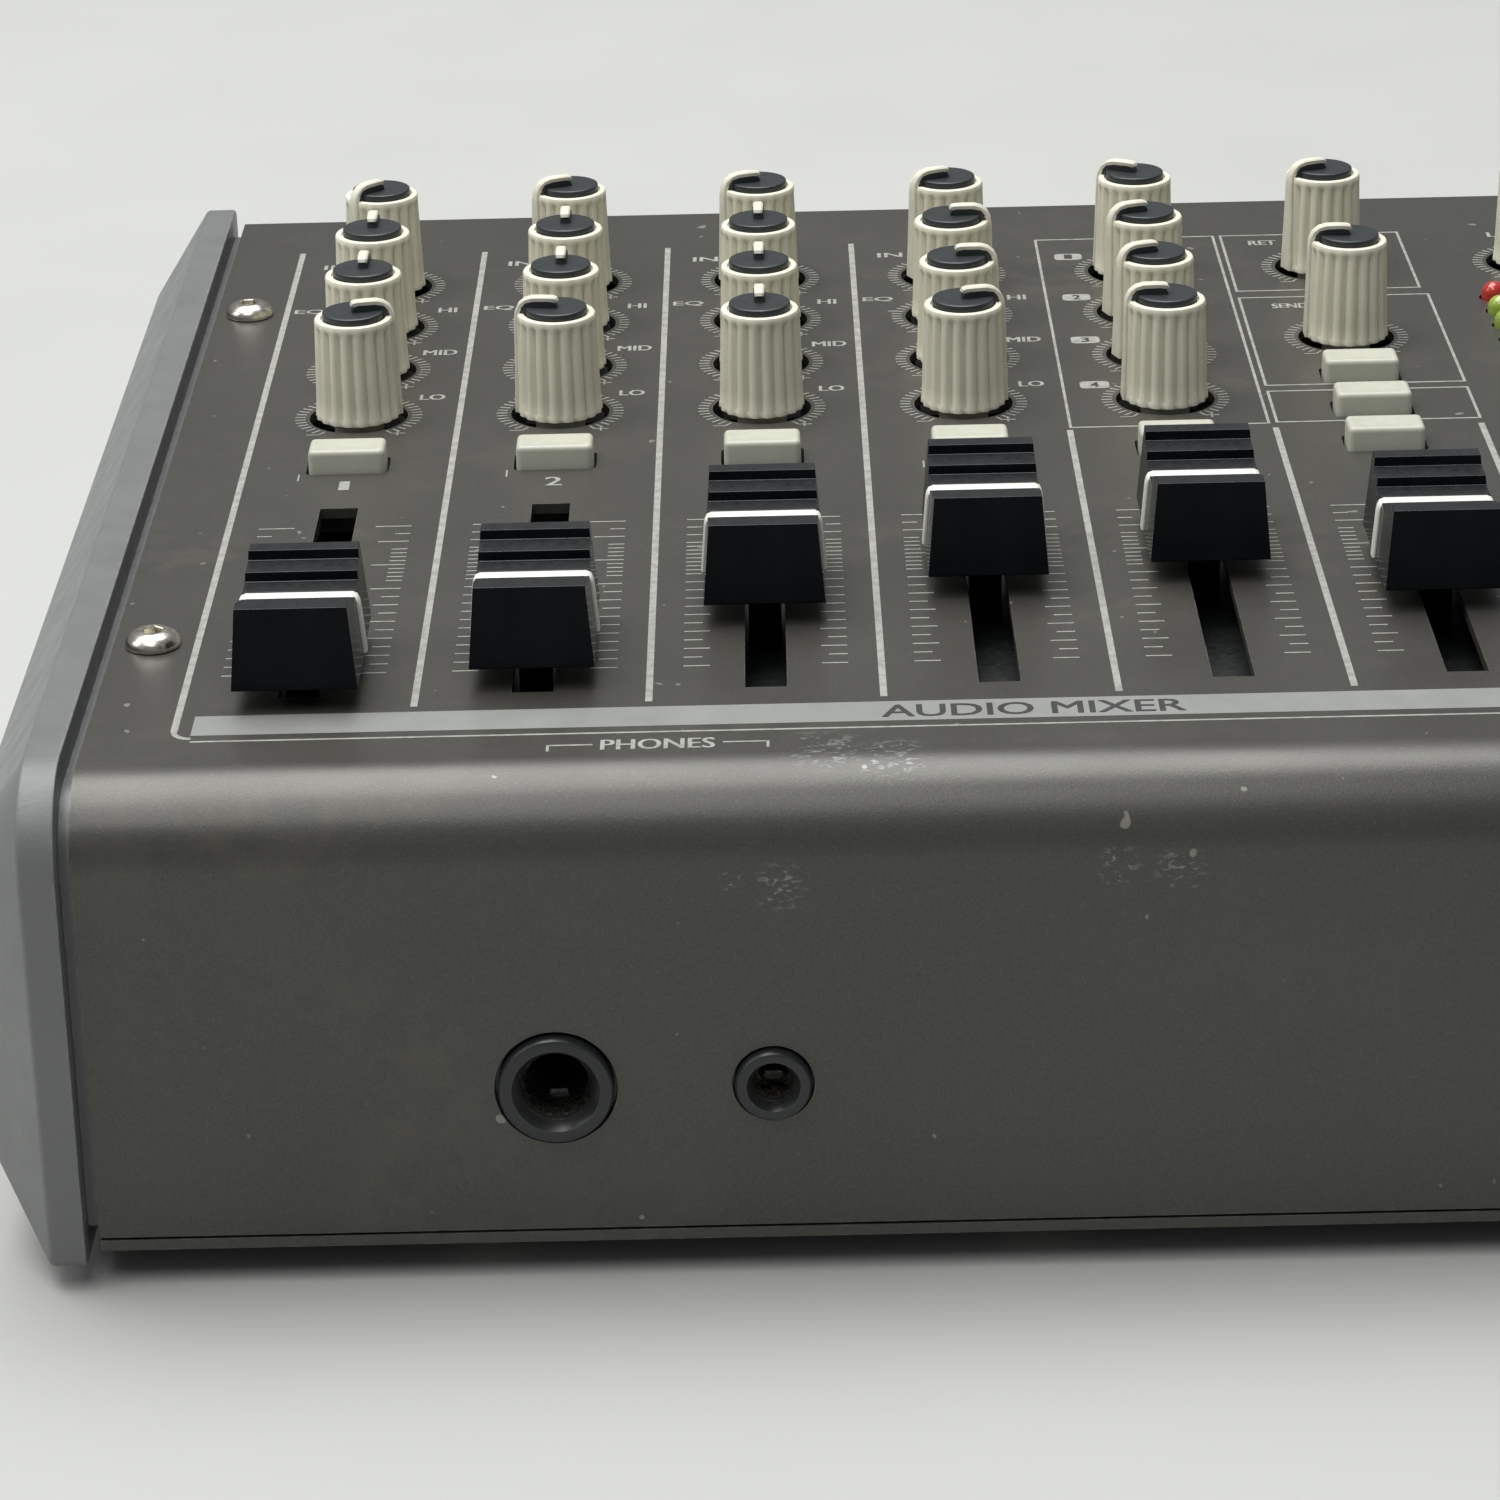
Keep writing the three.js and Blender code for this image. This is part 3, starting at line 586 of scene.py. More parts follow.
def letter(shape, text, x, along, width, depth, number=0, high=INK_HIGH):
    """Bold printed letters, centred, fitted to a width and a depth along the panel."""
    curve = bpy.data.curves.new("letters", "FONT")
    curve.body = text
    curve.resolution_u = 3
    source = bpy.data.objects.new("letters", curve)
    bpy.context.scene.collection.objects.link(source)
    bpy.context.view_layer.update()
    flat = bpy.data.meshes.new_from_object(source)
    bpy.data.objects.remove(source)
    places = [v.co.copy() for v in flat.vertices]
    low = Vector((min(p.x for p in places), min(p.y for p in places)))
    high_corner = Vector((max(p.x for p in places), max(p.y for p in places)))
    scale = Vector((width / (high_corner.x - low.x), depth / (high_corner.y - low.y)))
    thick = bmesh.new()
    thick.from_mesh(flat)
    bmesh.ops.remove_doubles(thick, verts=thick.verts, dist=1e-5)
    grown = bmesh.ops.extrude_face_region(thick, geom=thick.faces[:])
    raised = {v for v in grown["geom"] if isinstance(v, bmesh.types.BMVert)}
    thick.verts.index_update()
    for copy, shift in enumerate((-0.07, 0, 0.07)):
        start = len(shape.points)
        for vertex in thick.verts:
            shape.points.append((x + shift + (vertex.co.x - low.x) * scale.x - width / 2,
                                 along + (vertex.co.y - low.y) * scale.y - depth / 2,
                                 high + 0.003 * copy if vertex in raised else INK_LOW - 0.003 * copy))
        for face in thick.faces:
            shape.faces.append(tuple(start + v.index for v in face.verts))
            shape.numbers.append(number)
    thick.free()
    bpy.data.meshes.remove(flat)


def dial(shape, x, along):
    """Ticks round a knob, with a minus and a plus below its ends."""
    for step in range(37):
        angle = math.radians(-145 + 290 * step / 36)
        inner, outer = 6.45, 7.75
        stripe(shape, x + inner * math.sin(angle), along + inner * math.cos(angle),
               x + outer * math.sin(angle), along + outer * math.cos(angle), 0.24)
    stripe(shape, x - 5.9, along - 6.3, x - 4.3, along - 6.3, 0.22)
    stripe(shape, x + 4.2, along - 6.3, x + 6, along - 6.3, 0.22)
    stripe(shape, x + 5.1, along - 7, x + 5.1, along - 5.6, 0.22)


SCALE_LONG = {0: 4.1, 1: 1.7, 2: 3.5, 3: 1.8, 4: 1.8, 5: 3.8, 6: 1.8, 7: 1.8, 8: 3.4}


def fader_scale(shape, x):
    """Both ladders beside a fader slot, with close marks in the upper part."""
    interval = FADER_TRAVEL / 18
    top = FADER_DOWN + FADER_TRAVEL
    outer = 8.74
    for side in (-1, 1):
        for step in range(19):
            length = SCALE_LONG.get(step, 2.8 if step % 2 == 0 else 2)
            along = top - step * interval
            stripe(shape, x + side * outer, along, x + side * (outer - length), along, 0.24)
        for half_step in range(4):
            along = top - (3.5 + half_step) * interval
            stripe(shape, x + side * outer, along, x + side * (outer - 1.8), along, 0.24)


DIVIDERS = [-64.35 + CHANNEL_PITCH * k for k in range(6)]
PRINT_FRONT = 22.6
PRINT_REAR = 179.6
BORDER_X = 88.8


def make_print():
    ink = Shape()
    for x in DIVIDERS[:3]:
        stripe(ink, x, PRINT_FRONT, x, PRINT_REAR, 0.75)
    stripe(ink, DIVIDERS[3], PRINT_FRONT, DIVIDERS[3], 103.6, 0.75)
    for x in DIVIDERS[4:]:
        stripe(ink, x, PRINT_FRONT, x, 102.9, 0.75)
    frame_lines(ink, 9.3, 33.0, 104.5, 179.3)
    frame_lines(ink, 34.0, 57.6, 155.4, 179.3)
    frame_lines(ink, 34.0, 58.3, 118.2, 152.6)
    frame_lines(ink, 34.0, 58.3, 104.8, 116)
    for side in (-1, 1):
        stripe(ink, side * BORDER_X, 17.2, side * BORDER_X, 180.7, 0.75)
        for step in range(6):
            first, second = (math.pi / 2 * (step + k) / 6 for k in (-0.04, 1.04))
            stripe(ink, side * (BORDER_X - 1.9 + 1.9 * math.cos(first)), 17.2 - 1.9 * math.sin(first),
                   side * (BORDER_X - 1.9 + 1.9 * math.cos(second)), 17.2 - 1.9 * math.sin(second), 0.6,
                   high=INK_HIGH + 0.004)
    stripe(ink, -86.9, 14.5, 86.9, 14.5, 0.35)
    ink.slab(block_outline(2 * 87, 5.1, 0, 18.65), INK_LOW, INK_HIGH, 1)
    letter(ink, "AUDIO MIXER", 0, 18.6, 31.3, 3.2, 2, LETTER_HIGH)
    for _, x, along, _ in KNOBS:
        dial(ink, x, along)
    for _, x, _ in FADERS:
        fader_scale(ink, x)
    for channel in range(1, 5):
        x = channel_x(channel)
        for row, (text, width) in enumerate((("LO", 3), ("MID", 4.2), ("HI", 2.3))):
            letter(ink, text, x + 8.6, LOW_ROW + 6.6 + row * (ROW_PITCH + 0.1), width, 1.9)
        letter(ink, "EQ", x - 9.3, 155.4, 3.8, 1.9)
        letter(ink, "IN", x - 7.2, 174.2, 3.2, 1.9)
        letter(ink, str(channel), x, 89.9, 1.9 if channel > 1 else 1.1, 2.9)
        stripe(ink, x - 5.6, 91.8, x - 5.6, 94, 0.2)
    for row in range(4):
        along = LOW_ROW + 5.7 + row * (ROW_PITCH + 0.25)
        ink.slab(rounded_rectangle(3.6, 2.6, 0.6, 3, 13.2, along), INK_LOW, INK_HIGH, 0)
        letter(ink, str(4 - row), 13.2, along, 0.9, 1.7, 2, LETTER_HIGH)
    letter(ink, "RET", 39.3, 175.9, 3.6, 1.9)
    letter(ink, "SEND", 40.2, 149, 4.6, 1.9)
    letter(ink, "LEVEL", MAIN_X, 177.2, 8.4, 2)
    letter(ink, "5", channel_x(5), 90, 1.4, 2.2)
    letter(ink, "6", channel_x(6), 90, 1.4, 2.2)
    phones_left, phones_right = -50, -27.5
    stripe(ink, phones_left, 11.5, phones_left + 4.6, 11.5, 0.3)
    stripe(ink, phones_right - 4.6, 11.5, phones_right, 11.5, 0.3)
    letter(ink, "PHONES", (phones_left + phones_right) / 2, 11.4, 11.6, 2.6)
    for side_x in (phones_left, phones_right):
        stripe(ink, side_x, 10, side_x, 11.65, 0.3)
    add_mesh("panel_print", ink.mesh("panel_print", (INK, BAND_INK, DARK_INK)), "case",
             matrix=PANEL)


# ---- knobs ----
FLUTES = 18
KNOB_POINTS = 180


def knob_radius(height):
    """Outside radius of the skirt at a height above the panel."""
    return KNOB_BASE + (KNOB_TOP - KNOB_BASE) * (height - KNOB_LIFT) / (KNOB_RIM - KNOB_LIFT)


def fluted(height, depth, swell=0.0):
    """Radius at an angle: wide round ridges between narrow grooves."""
    outside = knob_radius(height) + swell

    def radius(angle):
        groove = (0.5 + 0.5 * math.cos(FLUTES * angle)) ** 1.8
        return outside - depth * groove
    return radius


def knob_mesh():
    knob = Shape()
    profile = [(SHAFT_RADIUS, POT_TOP + CLEARANCE), (SHAFT_RADIUS, KNOB_LIFT)]
    rings = [ring_points(radius, height, KNOB_POINTS) for radius, height in profile]
    flutes = [(0.32, 0.1, -0.12), (0.4, 0.3, 0.08), (0.9, 0.34, 0.08), (1.2, 0.42, 0.0), (3, 0.46, 0),
              (6, 0.46, 0), (9, 0.46, 0), (11.1, 0.44, 0), (11.7, 0.3, 0), (11.95, 0.12, 0.02),
              (12.15, 0.04, 0.03), (12.5, 0.03, 0.02), (12.72, 0.02, -0.08), (KNOB_RIM, 0.01, -0.24)]
    rings += [ring_points(fluted(height, depth, swell), height, KNOB_POINTS) for height, depth, swell in flutes]
    rings += [ring_points(DISC_RADIUS + 0.24, KNOB_RIM - 0.02, KNOB_POINTS),
              ring_points(DISC_RADIUS + 0.12, KNOB_RIM - 0.35, KNOB_POINTS)]
    knob.skin(rings, 0)
    disc = [(DISC_RADIUS - 0.1, KNOB_RIM - 0.6), (DISC_RADIUS, KNOB_RIM - 0.2), (DISC_RADIUS, DISC_TOP - 0.2),
            (DISC_RADIUS - 0.06, DISC_TOP - 0.07), (DISC_RADIUS - 0.2, DISC_TOP), (DISC_RADIUS - 0.5, DISC_TOP),
            (1.2, DISC_TOP - 0.08)]
    knob.skin([ring_points(radius, height, 72) for radius, height in disc], 1)
    web = [(-0.15, DISC_TOP + 0.05, 0.5), (0.1, DISC_TOP + 0.55, 0.62), (0.7, DISC_TOP + 0.72, 0.66),
           (2.6, DISC_TOP + 0.72, 0.68), (3.7, DISC_TOP + 0.5, 0.72), (4.2, DISC_TOP - 0.1, 0.75)]
    knob.skin([[(-w, y, KNOB_RIM), (-w, y, top), (w, y, top), (w, y, KNOB_RIM)] for y, top, w in web], 1)
    rib_path = [(-0.3, DISC_TOP + 0.75, 0.5), (-0.12, DISC_TOP + 1.1, 0.56), (0.3, DISC_TOP + 1.25, 0.6),
                (1.5, DISC_TOP + 1.3, 0.62), (2.9, DISC_TOP + 1.28, 0.62), (3.8, DISC_TOP + 1.02, 0.62),
                (4.55, DISC_TOP + 0.4, 0.64), (4.98, DISC_TOP - 0.5, 0.7), (5.1, DISC_TOP - 1.6, 0.8),
                (5.14, 9, 0.95), (5.22, 5, 1.1), (5.3, 2, 1.22), (5.34, 0.45, 1.28)]
    rings = []
    for index, (y, height, half) in enumerate(rib_path):
        before = Vector(rib_path[max(index - 1, 0)][:2])
        after = Vector(rib_path[min(index + 1, len(rib_path) - 1)][:2])
        run = (after - before).normalized()
        inward = Vector((run.y, -run.x)) if run.y < 0 or run.x > 0 else Vector((0, -1))
        foot = Vector((y, height)) + inward * (0.62 if height > 12 else 1.1)
        shoulder = Vector((y, height)) + inward * 0.16
        rings.append([(-half, foot.x, foot.y), (-half, shoulder.x, shoulder.y), (-half + 0.2, y, height),
                      (half - 0.2, y, height), (half, shoulder.x, shoulder.y), (half, foot.x, foot.y)])
    knob.skin(rings, 0)
    return knob.mesh("knob", (KNOB_FINISH, DISC_FINISH), smooth=34)


def make_knobs():
    mesh = knob_mesh()
    for name, x, along, pointer in KNOBS:
        turn = Matrix.Rotation(-math.radians(pointer), 4, "Z")
        place = PANEL @ Matrix.Translation((x * MM, along * MM, 0)) @ turn
        add_mesh(f"{name}_shell", mesh, name, (name,), place)


# ---- fader caps ----
CAP_PROFILE = [(CAP_HALF - 0.2, CAP_BOTTOM), (CAP_HALF + 0.15, CAP_BOTTOM + 0.15), (CAP_HALF - 0.05, 3.6),
               (9.6, CAP_CREST), (7.45, CAP_CREST - 0.02), (7.2, 10.3), (3.95, 10.2), (3.7, 9.2),
               (0.95, 9.1), (0.75, 8.45)]


def cap_half_width(height):
    """Half the cap's width, which narrows towards its top."""
    share = (height - CAP_BOTTOM) / (CAP_CREST - CAP_BOTTOM)
    return 6.6 + (5.85 - 6.6) * share


def cap_mesh():
    cap = Shape()
    back = CAP_PROFILE
    front = [(-y, height) for y, height in reversed(CAP_PROFILE)]
    outline = back + front
    cap.skin([[(side * cap_half_width(h), y, h) for y, h in outline] for side in (-1, 1)], 0)
    lever = block_outline(3.6, 5)
    cap.slab(lever, POT_TOP + CLEARANCE, CAP_BOTTOM + 0.6, 0)
    mesh = cap.mesh("cap", (CAP_FINISH, PAINTED_LIT_TREAD_FINISH), smooth=30)
    # Faces pointing up take the lighter tread colour, which is painted light.
    for face in mesh.polygons:
        if face.normal.z > 0.9:
            face.material_index = 1
    return mesh


def cap_line_mesh():
    """The pale line moulded across the cap's middle and down both sides."""
    line = Shape()
    half = 0.8
    path = []
    for side in (-1, 1):
        leg = [(side * (cap_half_width(h) + 0.35), h) for h in (CAP_BOTTOM + 0.25, 5, 7.9)]
        arc = [(side * (cap_half_width(8.4) + 0.27), 8.5), (side * (cap_half_width(8.7) + 0.05), 8.95),
               (side * (cap_half_width(9) - 0.4), 9.15)]
        path.extend(leg + arc if side < 0 else (leg + arc)[::-1])
    middle = Vector((0, 5))
    rings = []
    for x, h in path:
        inward = (middle - Vector((x, h))).normalized() * 0.9
        if abs(h) < 8:
            inward = Vector((-math.copysign(0.9, x), 0))
        rings.append([(x + inward.x, -half, h + inward.y), (x + inward.x * 0.2, -half, h + inward.y * 0.2),
                      (x, -half + 0.2, h), (x, half - 0.2, h),
                      (x + inward.x * 0.2, half, h + inward.y * 0.2), (x + inward.x, half, h + inward.y)])
    line.skin(rings, 0)
    return line.mesh("cap_line", (CAP_LINE_FINISH,), smooth=40)


def make_caps():
    cap, line = cap_mesh(), cap_line_mesh()
    for name, x, along in FADERS:
        place = PANEL @ Matrix.Translation((x * MM, along * MM, 0))
        add_mesh(f"{name}_cap", cap, name, (name,), place, bevel=0.09)
        add_mesh(f"{name}_line", line, name, (), place)


# ---- buttons ----
def make_buttons():
    button = Shape()
    levels = [(-3, 0.35), (-2.8, 0), (2.1, 0.02), (2.4, 0.1), (2.6, 0.25), (BUTTON_HEIGHT, 0.5),
              (2.67, 0.8), (2.6, 1.6)]
    rings = []
    for height, inset in levels:
        outline = rounded_rectangle(BUTTON_WIDTH - 2 * inset, BUTTON_DEPTH - 2 * inset, max(0.75 - inset, 0.25), 5)
        rings.append([(x, y, height) for x, y in outline])
    button.skin(rings)
    button.slab(block_outline(3, 3), -5.2, -2.5)
    mesh = button.mesh("button", (BUTTON_FINISH,), smooth=35)
    for name, x, along in BUTTONS:
        place = PANEL @ Matrix.Translation((x * MM, along * MM, 0))
        add_mesh(f"{name}_cap", mesh, name, (name,), place)


# ---- screws, feet, lamps ----
def make_panel_screws():
    hexagon = polygon_radius(1.0, 6)
    profile = [(0.9, -9), (SCREW_SHANK, -8.4), (SCREW_SHANK, 0.04), (SCREW_HEAD - 0.1, 0.04), (SCREW_HEAD, 0.14),
               (SCREW_HEAD, 0.5), (2.86, 0.9), (2.55, 1.3), (2.1, 1.6), (1.6, 1.78), (1.3, 1.82)]
    screw = Shape()
    rings = [ring_points(radius, height) for radius, height in profile]
    rings += [ring_points(lambda a: hexagon(a) + 0.08, 1.8), ring_points(hexagon, 1.7), ring_points(hexagon, 0.55),
              ring_points(0.2, 0.35)]
    screw.skin(rings)
    mesh = screw.mesh("panel_screw", (NICKEL,), smooth=35)
    number = 1
    for along in PANEL_SCREW_ROWS:
        for x in (-PANEL_SCREW_X, PANEL_SCREW_X):
            node = f"panel_screw_{number}"
            turn = Matrix.Rotation(0.4 * number, 4, "Z")
            place = PANEL @ Matrix.Translation((x * MM, along * MM, 0)) @ turn
            add_mesh(f"{node}_head", mesh, "case", (node,), place)
            number += 1


def make_feet():
    foot = Shape()
    top = CASE_BOTTOM - 0.02
    profile = [(1.4, 1.9), (1.7, 0.5), (2, 0.1), (2.3, 0), (FOOT_RADIUS - 1.2, 0), (FOOT_RADIUS - 0.5, 0.2),
               (FOOT_RADIUS - 0.1, 0.7), (FOOT_RADIUS, 1.2), (FOOT_RADIUS - 0.15, top - 0.2), (FOOT_RADIUS - 0.3, top)]
    foot.skin([ring_points(radius, height) for radius, height in profile])
    mesh = foot.mesh("foot", (RUBBER,), smooth=30)
    middle = (FRONT_Y + REAR_Y) / 2
    number = 1
    for rear in (-1, 1):
        for side in (-1, 1):
            place = Matrix.Translation((side * FOOT_X * MM, (middle + rear * FOOT_Y) * MM, 0))
            add_mesh(f"foot_{number}_pad", mesh, "case", (f"foot_{number}",), place)
            number += 1


def make_bottom_screws():
    """Countersunk cross-head screws of the bottom sheet."""
    screw = Shape()
    rings = [ring_points(radius, height, 32) for radius, height in
             ((1.4, 1.0), (2.7, -0.1), (2.75, -0.45), (2.3, -0.75), (1.4, -0.9), (1.2, -0.92))]
    cross = lambda angle: 0.35 + 0.85 * abs(math.cos(2 * angle)) ** 6
    rings += [ring_points(cross, -0.9, 32), ring_points(lambda a: cross(a) * 0.6, -0.2, 32)]
    screw.skin(rings)
    mesh = screw.mesh("bottom_screw", (NICKEL,), smooth=30)
    number = 1
    for y in (FRONT_Y + 5.5, REAR_Y - 8):
        for x in (-58, 0, 58):
            place = Matrix.Translation((x * MM, y * MM, CASE_BOTTOM * MM))
            add_mesh(f"bottom_screw_{number}", mesh, "case", (), place)
            number += 1


def make_level_meter():
    meter = Shape()
    strip_top = -SHEET - CLEARANCE
    centre = LED_START + (LED_ROWS - 1) * LED_PITCH / 2
    meter.slab(rounded_rectangle(2 * LED_OFFSET + 6, LED_ROWS * LED_PITCH + 3, 1.5, 4, MAIN_X, centre),
               strip_top - 3, strip_top, 2)
    dome = [(LED_RADIUS, strip_top - 1), (LED_RADIUS, 0.7), (LED_RADIUS * 0.96, 1.05), (LED_RADIUS * 0.82, 1.5),
            (LED_RADIUS * 0.58, 1.86), (LED_RADIUS * 0.28, 2.08), (0.08, 2.14)]
    for x, along in led_places():
        top_lamp = along > LED_START + (LED_ROWS - 1.5) * LED_PITCH
        meter.skin([[(x + px, along + py, h) for px, py, _ in ring_points(radius, 0, 28)] for radius, h in dome],
                   0 if top_lamp else 1)
    mesh = meter.mesh("level_meter", (RED_LAMP, GREEN_LAMP, BLACK_PLASTIC), smooth=40)
    add_mesh("level_lamps", mesh, "case", ("level_meter",), PANEL)


# ---- connectors ----
def jack_shape(bush, bore, housing, depth, nut=False):
    """A jack socket along local +Z, whose mouth is at height 0."""
    jack = Shape()
    shoulder = -(SHEET + CLEARANCE)
    square = polygon_radius(housing / 2, 4)
    lip = (bush - bore) * 0.22
    profile = [(square, -depth), (square, shoulder - 0.4), (lambda a: square(a) - 0.3, shoulder), (bush, shoulder),
               (bush, 0.5), (bush - 0.08, 0.78), (bush - 0.25, 0.97), (bush - 0.5, 1.05), (bore + 2.1 * lip, 0.98),
               (bore + 1.8 * lip, 0.75), (bore + 1.3 * lip, 0.35), (bore + 0.5 * lip, -0.6), (bore, -1.5)]
    jack.skin([ring_points(radius, height) for radius, height in profile]
              + [ring_points(bore, 1 - depth), ring_points(0.3, 0.9 - depth)], 0)
    sleeve = [(bore + 1.4 * lip, -0.9), (bore + 0.75 * lip, -0.3), (bore - 0.05, -1.45), (bore - 0.12, -3.6),
              (bore + 0.5, -3.6)]
    jack.skin([ring_points(radius, height) for radius, height in sleeve + sleeve[:1]], 1, closed_ends=False)
    for side in (-1, 1):
        leaf = [(-0.9, -5.5), (0.9, -5.5), (0.9, -9), (-0.9, -9)]
        jack.skin([[(x, side * (bore - reach), h) for x, h in leaf] for reach in (0.55, 0.1)], 1)
    if nut:
        flats = polygon_radius(7.2, 6)
        for inner, rings in ((bush + 0.12, ((flats, 2.05, 0.25), (flats, 0.75, 0))),):
            top = [ring_points(inner, 0.72), ring_points(inner, 2.2), ring_points(lambda a: flats(a) - 0.5, 2.2),
                   ring_points(lambda a: flats(a) - 0.05, 1.9), ring_points(flats, 0.9),
                   ring_points(lambda a: flats(a) - 0.1, 0.72), ring_points(inner, 0.72)]
            jack.skin(top, 1, closed_ends=False)
        washer = [(bush + 0.1, 0.02), (8.4, 0.02), (8.5, 0.1), (8.5, 0.6), (8.4, 0.68), (bush + 0.1, 0.68)]
        jack.skin([ring_points(radius, height) for radius, height in washer + washer[:1]], 1, closed_ends=False)
    return jack


def make_jacks():
    for name, x, sizes in (("phones_jack", PHONES_X, (5.95, 3.35, 15, 31)), ("phones_mini_jack", MINI_X, (3.95, 1.8, 10, 15))):
        jack = jack_shape(*sizes)
        jack.points = facing_front(jack.points, x, FRONT_Y, FRONT_JACK_Z)
        mesh = jack.mesh(name, (BLACK_PLASTIC, NICKEL), smooth=30)
        add_mesh(f"{name}_socket", mesh, "case", (name,))
    for channel in range(1, 5):
        name = f"input_jack_{channel}"
        jack = jack_shape(5.9, 3.35, 15, 31, nut=True)
        jack.points = facing_rear(jack.points, channel_x(channel), REAR_Y, INPUT_JACK_Z)
        mesh = jack.mesh(name, (BLACK_PLASTIC, NICKEL), smooth=30)
        add_mesh(f"{name}_socket", mesh, "case", (name,))


def make_rear_sockets():
    rear = Shape()
    inside = SHEET + CLEARANCE
    for column, x in enumerate(PHONO_X):
        box = rounded_rectangle(12, 28, 0.8, 4)
        middle = sum(PHONO_Z) / 2
        rear.skin([facing_rear([(px, py, -height) for px, py in box], x, REAR_Y, middle) for height in (12.6, inside)], 0)
        for row, z in enumerate(PHONO_Z):
            shell = [(4.15, -2.4), (4.15, PHONO_REACH - 0.3), (3.95, PHONO_REACH), (3.6, PHONO_REACH), (3.5, PHONO_REACH - 0.3),
                     (3.5, 0.8), (3.4, 0.6)]
            core = [(3.5, -1), (3.5, 6.4), (3.2, 6.9), (1.9, 6.9), (1.7, 6.6), (1.7, 0.5), (1.5, 0.4)]
            collar = [(4.7, 0.05), (6.2, 0.05), (6.3, 0.2), (6.2, 0.6), (4.7, 0.7)]
            for profile, number in ((shell, 1), (core, 2 if row else 3)):
                rear.skin([facing_rear(ring_points(r, h, 40), x, REAR_Y, z) for r, h in profile], number)
            rear.skin([facing_rear(ring_points(r, h, 40), x, REAR_Y, z) for r, h in collar + collar[:1]], 0,
                      closed_ends=False)
    inlet = [(5.9, -13), (5.9, 0.3), (5.6, 0.7), (4.6, 0.7), (3.3, 0.1), (3.1, -0.6), (3.1, -9), (1.0, -9.1),
             (1.0, -1.3), (0.7, -0.8)]
    rear.skin([facing_rear(ring_points(r, h, 40), POWER_INLET_X, REAR_Y, POWER_Z) for r, h in inlet], 0)
    outer = rounded_rectangle(ROCKER_WIDTH + 4, ROCKER_HEIGHT + 6, 1.2, 5)
    inner = rounded_rectangle(ROCKER_WIDTH + 0.8, ROCKER_HEIGHT + 2.6, 0.6, 5)
    levels = [(outer, -12.4, 1), (outer, 0.5, 1), (outer, 0.9, 0.94), (inner, 0.9, 1.05), (inner, 0.6, 1), (inner, -5.6, 1)]
    rear.skin([facing_rear([(px * k, py * k, h) for px, py in outline], POWER_SWITCH_X, REAR_Y, POWER_Z)
               for outline, h, k in levels], 0)
    board = rounded_rectangle(88, 32, 1, 3)
    rear.skin([facing_rear([(px, py, h) for px, py in board], 50, REAR_Y, POWER_Z) for h in (-14.2, -12.7)], 4)
    mesh = rear.mesh("rear_sockets", (BLACK_PLASTIC, NICKEL, PALE_PLASTIC, RED_PLASTIC, BOARD_FINISH), smooth=32)
    add_mesh("rear_sockets", mesh, "case", ("output_board",))


def make_rocker():
    rocker = Shape()
    half = ROCKER_HEIGHT / 2
    face = [(2.15 * (abs(z) / half) ** 1.6 * 0.35 + 1.65, z) for z in
            [half * (k / 8 - 1) for k in range(17)]]
    outline = [(-2.6, half)] + [(-2.6, -half)] + face
    rings = []
    for x, inset in ((-ROCKER_WIDTH / 2, 0.4), (-ROCKER_WIDTH / 2 + 0.35, 0), (ROCKER_WIDTH / 2 - 0.35, 0),
                     (ROCKER_WIDTH / 2, 0.4)):
        rings.append([(x, y - (inset if y > 0 else 0), z * (1 - inset / half)) for y, z in outline])
    rocker.skin(rings)
    for z, width in ((4.4, 0.5), (-4.4, 0.5)):
        rocker.slab([(-width, z - 1), (width, z - 1), (width, z + 1), (-width, z + 1)], 1.2, 1.3)
    mesh = rocker.mesh("rocker", (BLACK_PLASTIC,), smooth=35)
    place = Matrix.Translation((POWER_SWITCH_X * MM, (REAR_Y - 0.6) * MM, POWER_Z * MM))
    add_mesh("power_rocker_cap", mesh, "power_rocker", ("power_rocker",),
             place @ Matrix.Rotation(ROCKER_TILT, 4, "X"))


# ---- end cheeks ----
def cheek_ring(inset):
    """The cheek's outline drawn in by an inset, clockwise seen from +X."""
    front = FRONT_Y - CHEEK_PROUD + inset
    rear = REAR_Y + CHEEK_PROUD - inset
    bottom = CHEEK_BOTTOM + inset
    rise = math.tan(PANEL_SLOPE)
    top_front = FRONT_CORNER_Z + (front - FRONT_Y) * rise + (CHEEK_PROUD - inset) / math.cos(PANEL_SLOPE)
    top_rear = FRONT_CORNER_Z + (rear - FRONT_Y) * rise + (CHEEK_PROUD - inset) / math.cos(PANEL_SLOPE)
    corners = [Vector(c) for c in ((front, bottom), (front, top_front), (rear, top_rear), (rear, bottom))]
    ring = []
    for i, (radius, steps) in enumerate(((1.2, 5), (FRONT_BEND + CHEEK_PROUD, 20), (1.6, 5), (1.2, 5))):
        arc = round_corner(corners[i - 1], corners[i], corners[(i + 1) % 4], max(radius - inset, 0.5), steps)
        ring.extend(point for point, _ in arc)
    return ring


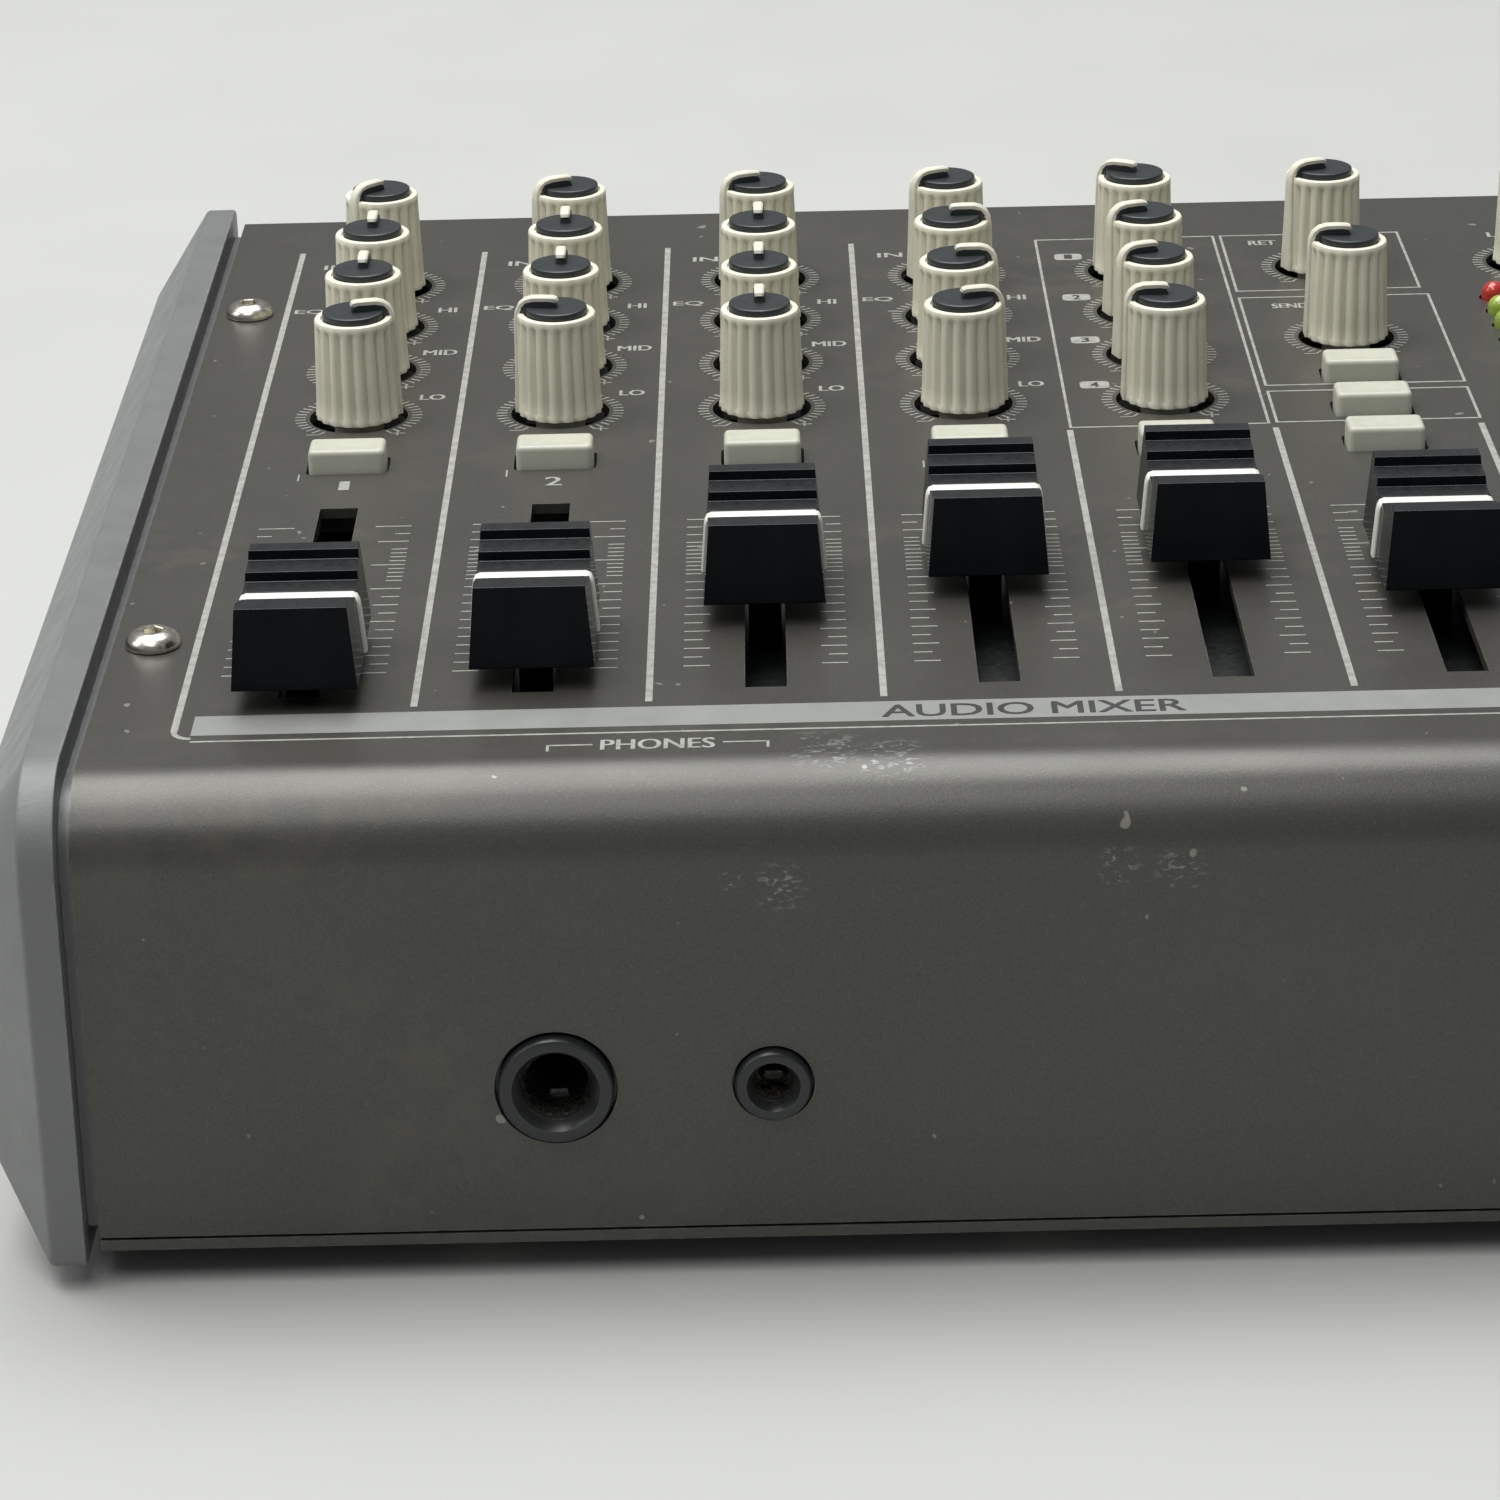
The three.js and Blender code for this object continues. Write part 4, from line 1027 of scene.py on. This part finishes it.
def make_cheeks():
    inner = CASE_WIDTH / 2 + CLEARANCE
    outer = CHEEK_WIDTH / 2
    rim_outer = outer - CHEEK_BEVEL
    rim_inner = rim_outer - CHEEK_RIM
    steps = [(inner, 3.2), (rim_inner, 3.2), (rim_inner, 0.35), (rim_inner + 0.1, 0.1), (rim_inner + 0.35, 0),
             (rim_outer - 0.3, 0), (rim_outer - 0.08, 0.06), (rim_outer + 0.2, 0.26),
             (outer - 0.35, CHEEK_BEVEL_INSET - 0.5), (outer - 0.1, CHEEK_BEVEL_INSET - 0.1),
             (outer, CHEEK_BEVEL_INSET + 0.3)]
    for side, node in ((-1, "left_cheek"), (1, "right_cheek")):
        cheek = Shape()
        cheek.skin([[(side * x, p.x, p.y) for p in cheek_ring(inset)] for x, inset in steps])
        mesh = cheek.mesh(node, (CHEEK_FINISH,), smooth=24)
        piece = add_mesh(f"{node}_moulding", mesh, "case", (node,))
        weighted = piece.modifiers.new("normals", "WEIGHTED_NORMAL")
        weighted.keep_sharp = True
        weighted.weight = 100


# ---- kept CAD nodes ----
def finish_node(node, material):
    kept = bpy.data.objects[node]
    kept.data.materials.clear()
    kept.data.materials.append(material)


# ---- floor, light and camera ----
def make_stage():
    floor = Shape()
    floor.slab(rounded_rectangle(7000, 7000, 400, 8, 0, 1200), -6, -0.02)
    ground = surface("floor_finish", (0.47, 0.475, 0.457), 0.65, specular=0.08, relief=0.03, grain=900, mottle=0.02, mottle_scale=6)
    piece = bpy.data.objects.new("floor", floor.mesh("floor", (ground,)))
    bpy.context.scene.collection.objects.link(piece)
    world = bpy.data.worlds.new("studio")
    world.use_nodes = True
    world.node_tree.nodes["Background"].inputs["Color"].default_value = (0.93, 0.96, 1, 1)
    world.node_tree.nodes["Background"].inputs["Strength"].default_value = 0.2
    bpy.context.scene.world = world
    for name, place, size, power in (("overhead", (-0.25, 0.3, 1.5), (1.5, 1.1), 34),
                                     ("left_fill", (-1.5, -0.25, 1.1), (0.9, 0.9), 5),
                                     ("front_fill", (-0.3, -1.0, 1.8), (1.0, 1.0), 10)):
        lamp = bpy.data.lights.new(name, "AREA")
        lamp.shape = "RECTANGLE"
        lamp.size, lamp.size_y = size
        lamp.energy = power
        light = bpy.data.objects.new(name, lamp)
        bpy.context.scene.collection.objects.link(light)
        light.location = place
        light.rotation_euler = (Vector((0, 0, 0.03)) - Vector(place)).to_track_quat("-Z", "Y").to_euler()
        light.visible_camera = False


def make_camera():
    pitch, roll, yaw = (math.radians(value) for value in (22.322, -1.4168, -0.4003))
    forward = Vector((math.sin(yaw) * math.cos(pitch), math.cos(yaw) * math.cos(pitch), -math.sin(pitch)))
    right = Vector((math.cos(yaw), -math.sin(yaw), 0))
    up = right.cross(forward)
    rolled_right = right * math.cos(roll) + up * math.sin(roll)
    rolled_up = up * math.cos(roll) - right * math.sin(roll)
    camera = bpy.data.cameras.new("camera")
    camera.sensor_width = 36
    camera.lens = 116.4
    camera.clip_end = 50
    holder = bpy.data.objects.new("camera", camera)
    bpy.context.scene.collection.objects.link(holder)
    turn = Matrix((rolled_right, rolled_up, -forward)).transposed().to_4x4()
    holder.matrix_world = Matrix.Translation((-0.026151, -0.548783, 0.242092)) @ turn
    bpy.context.scene.camera = holder


make_camera()
make_stage()
make_top_case()
make_print()
make_knobs()
make_caps()
make_buttons()
make_panel_screws()
make_feet()
make_bottom_screws()
make_level_meter()
make_jacks()
make_rear_sockets()
make_rocker()
make_cheeks()
finish_node("bottom_chassis", PAINT)
finish_node("control_board", BOARD_FINISH)
bpy.context.scene.view_settings.view_transform = "Standard"
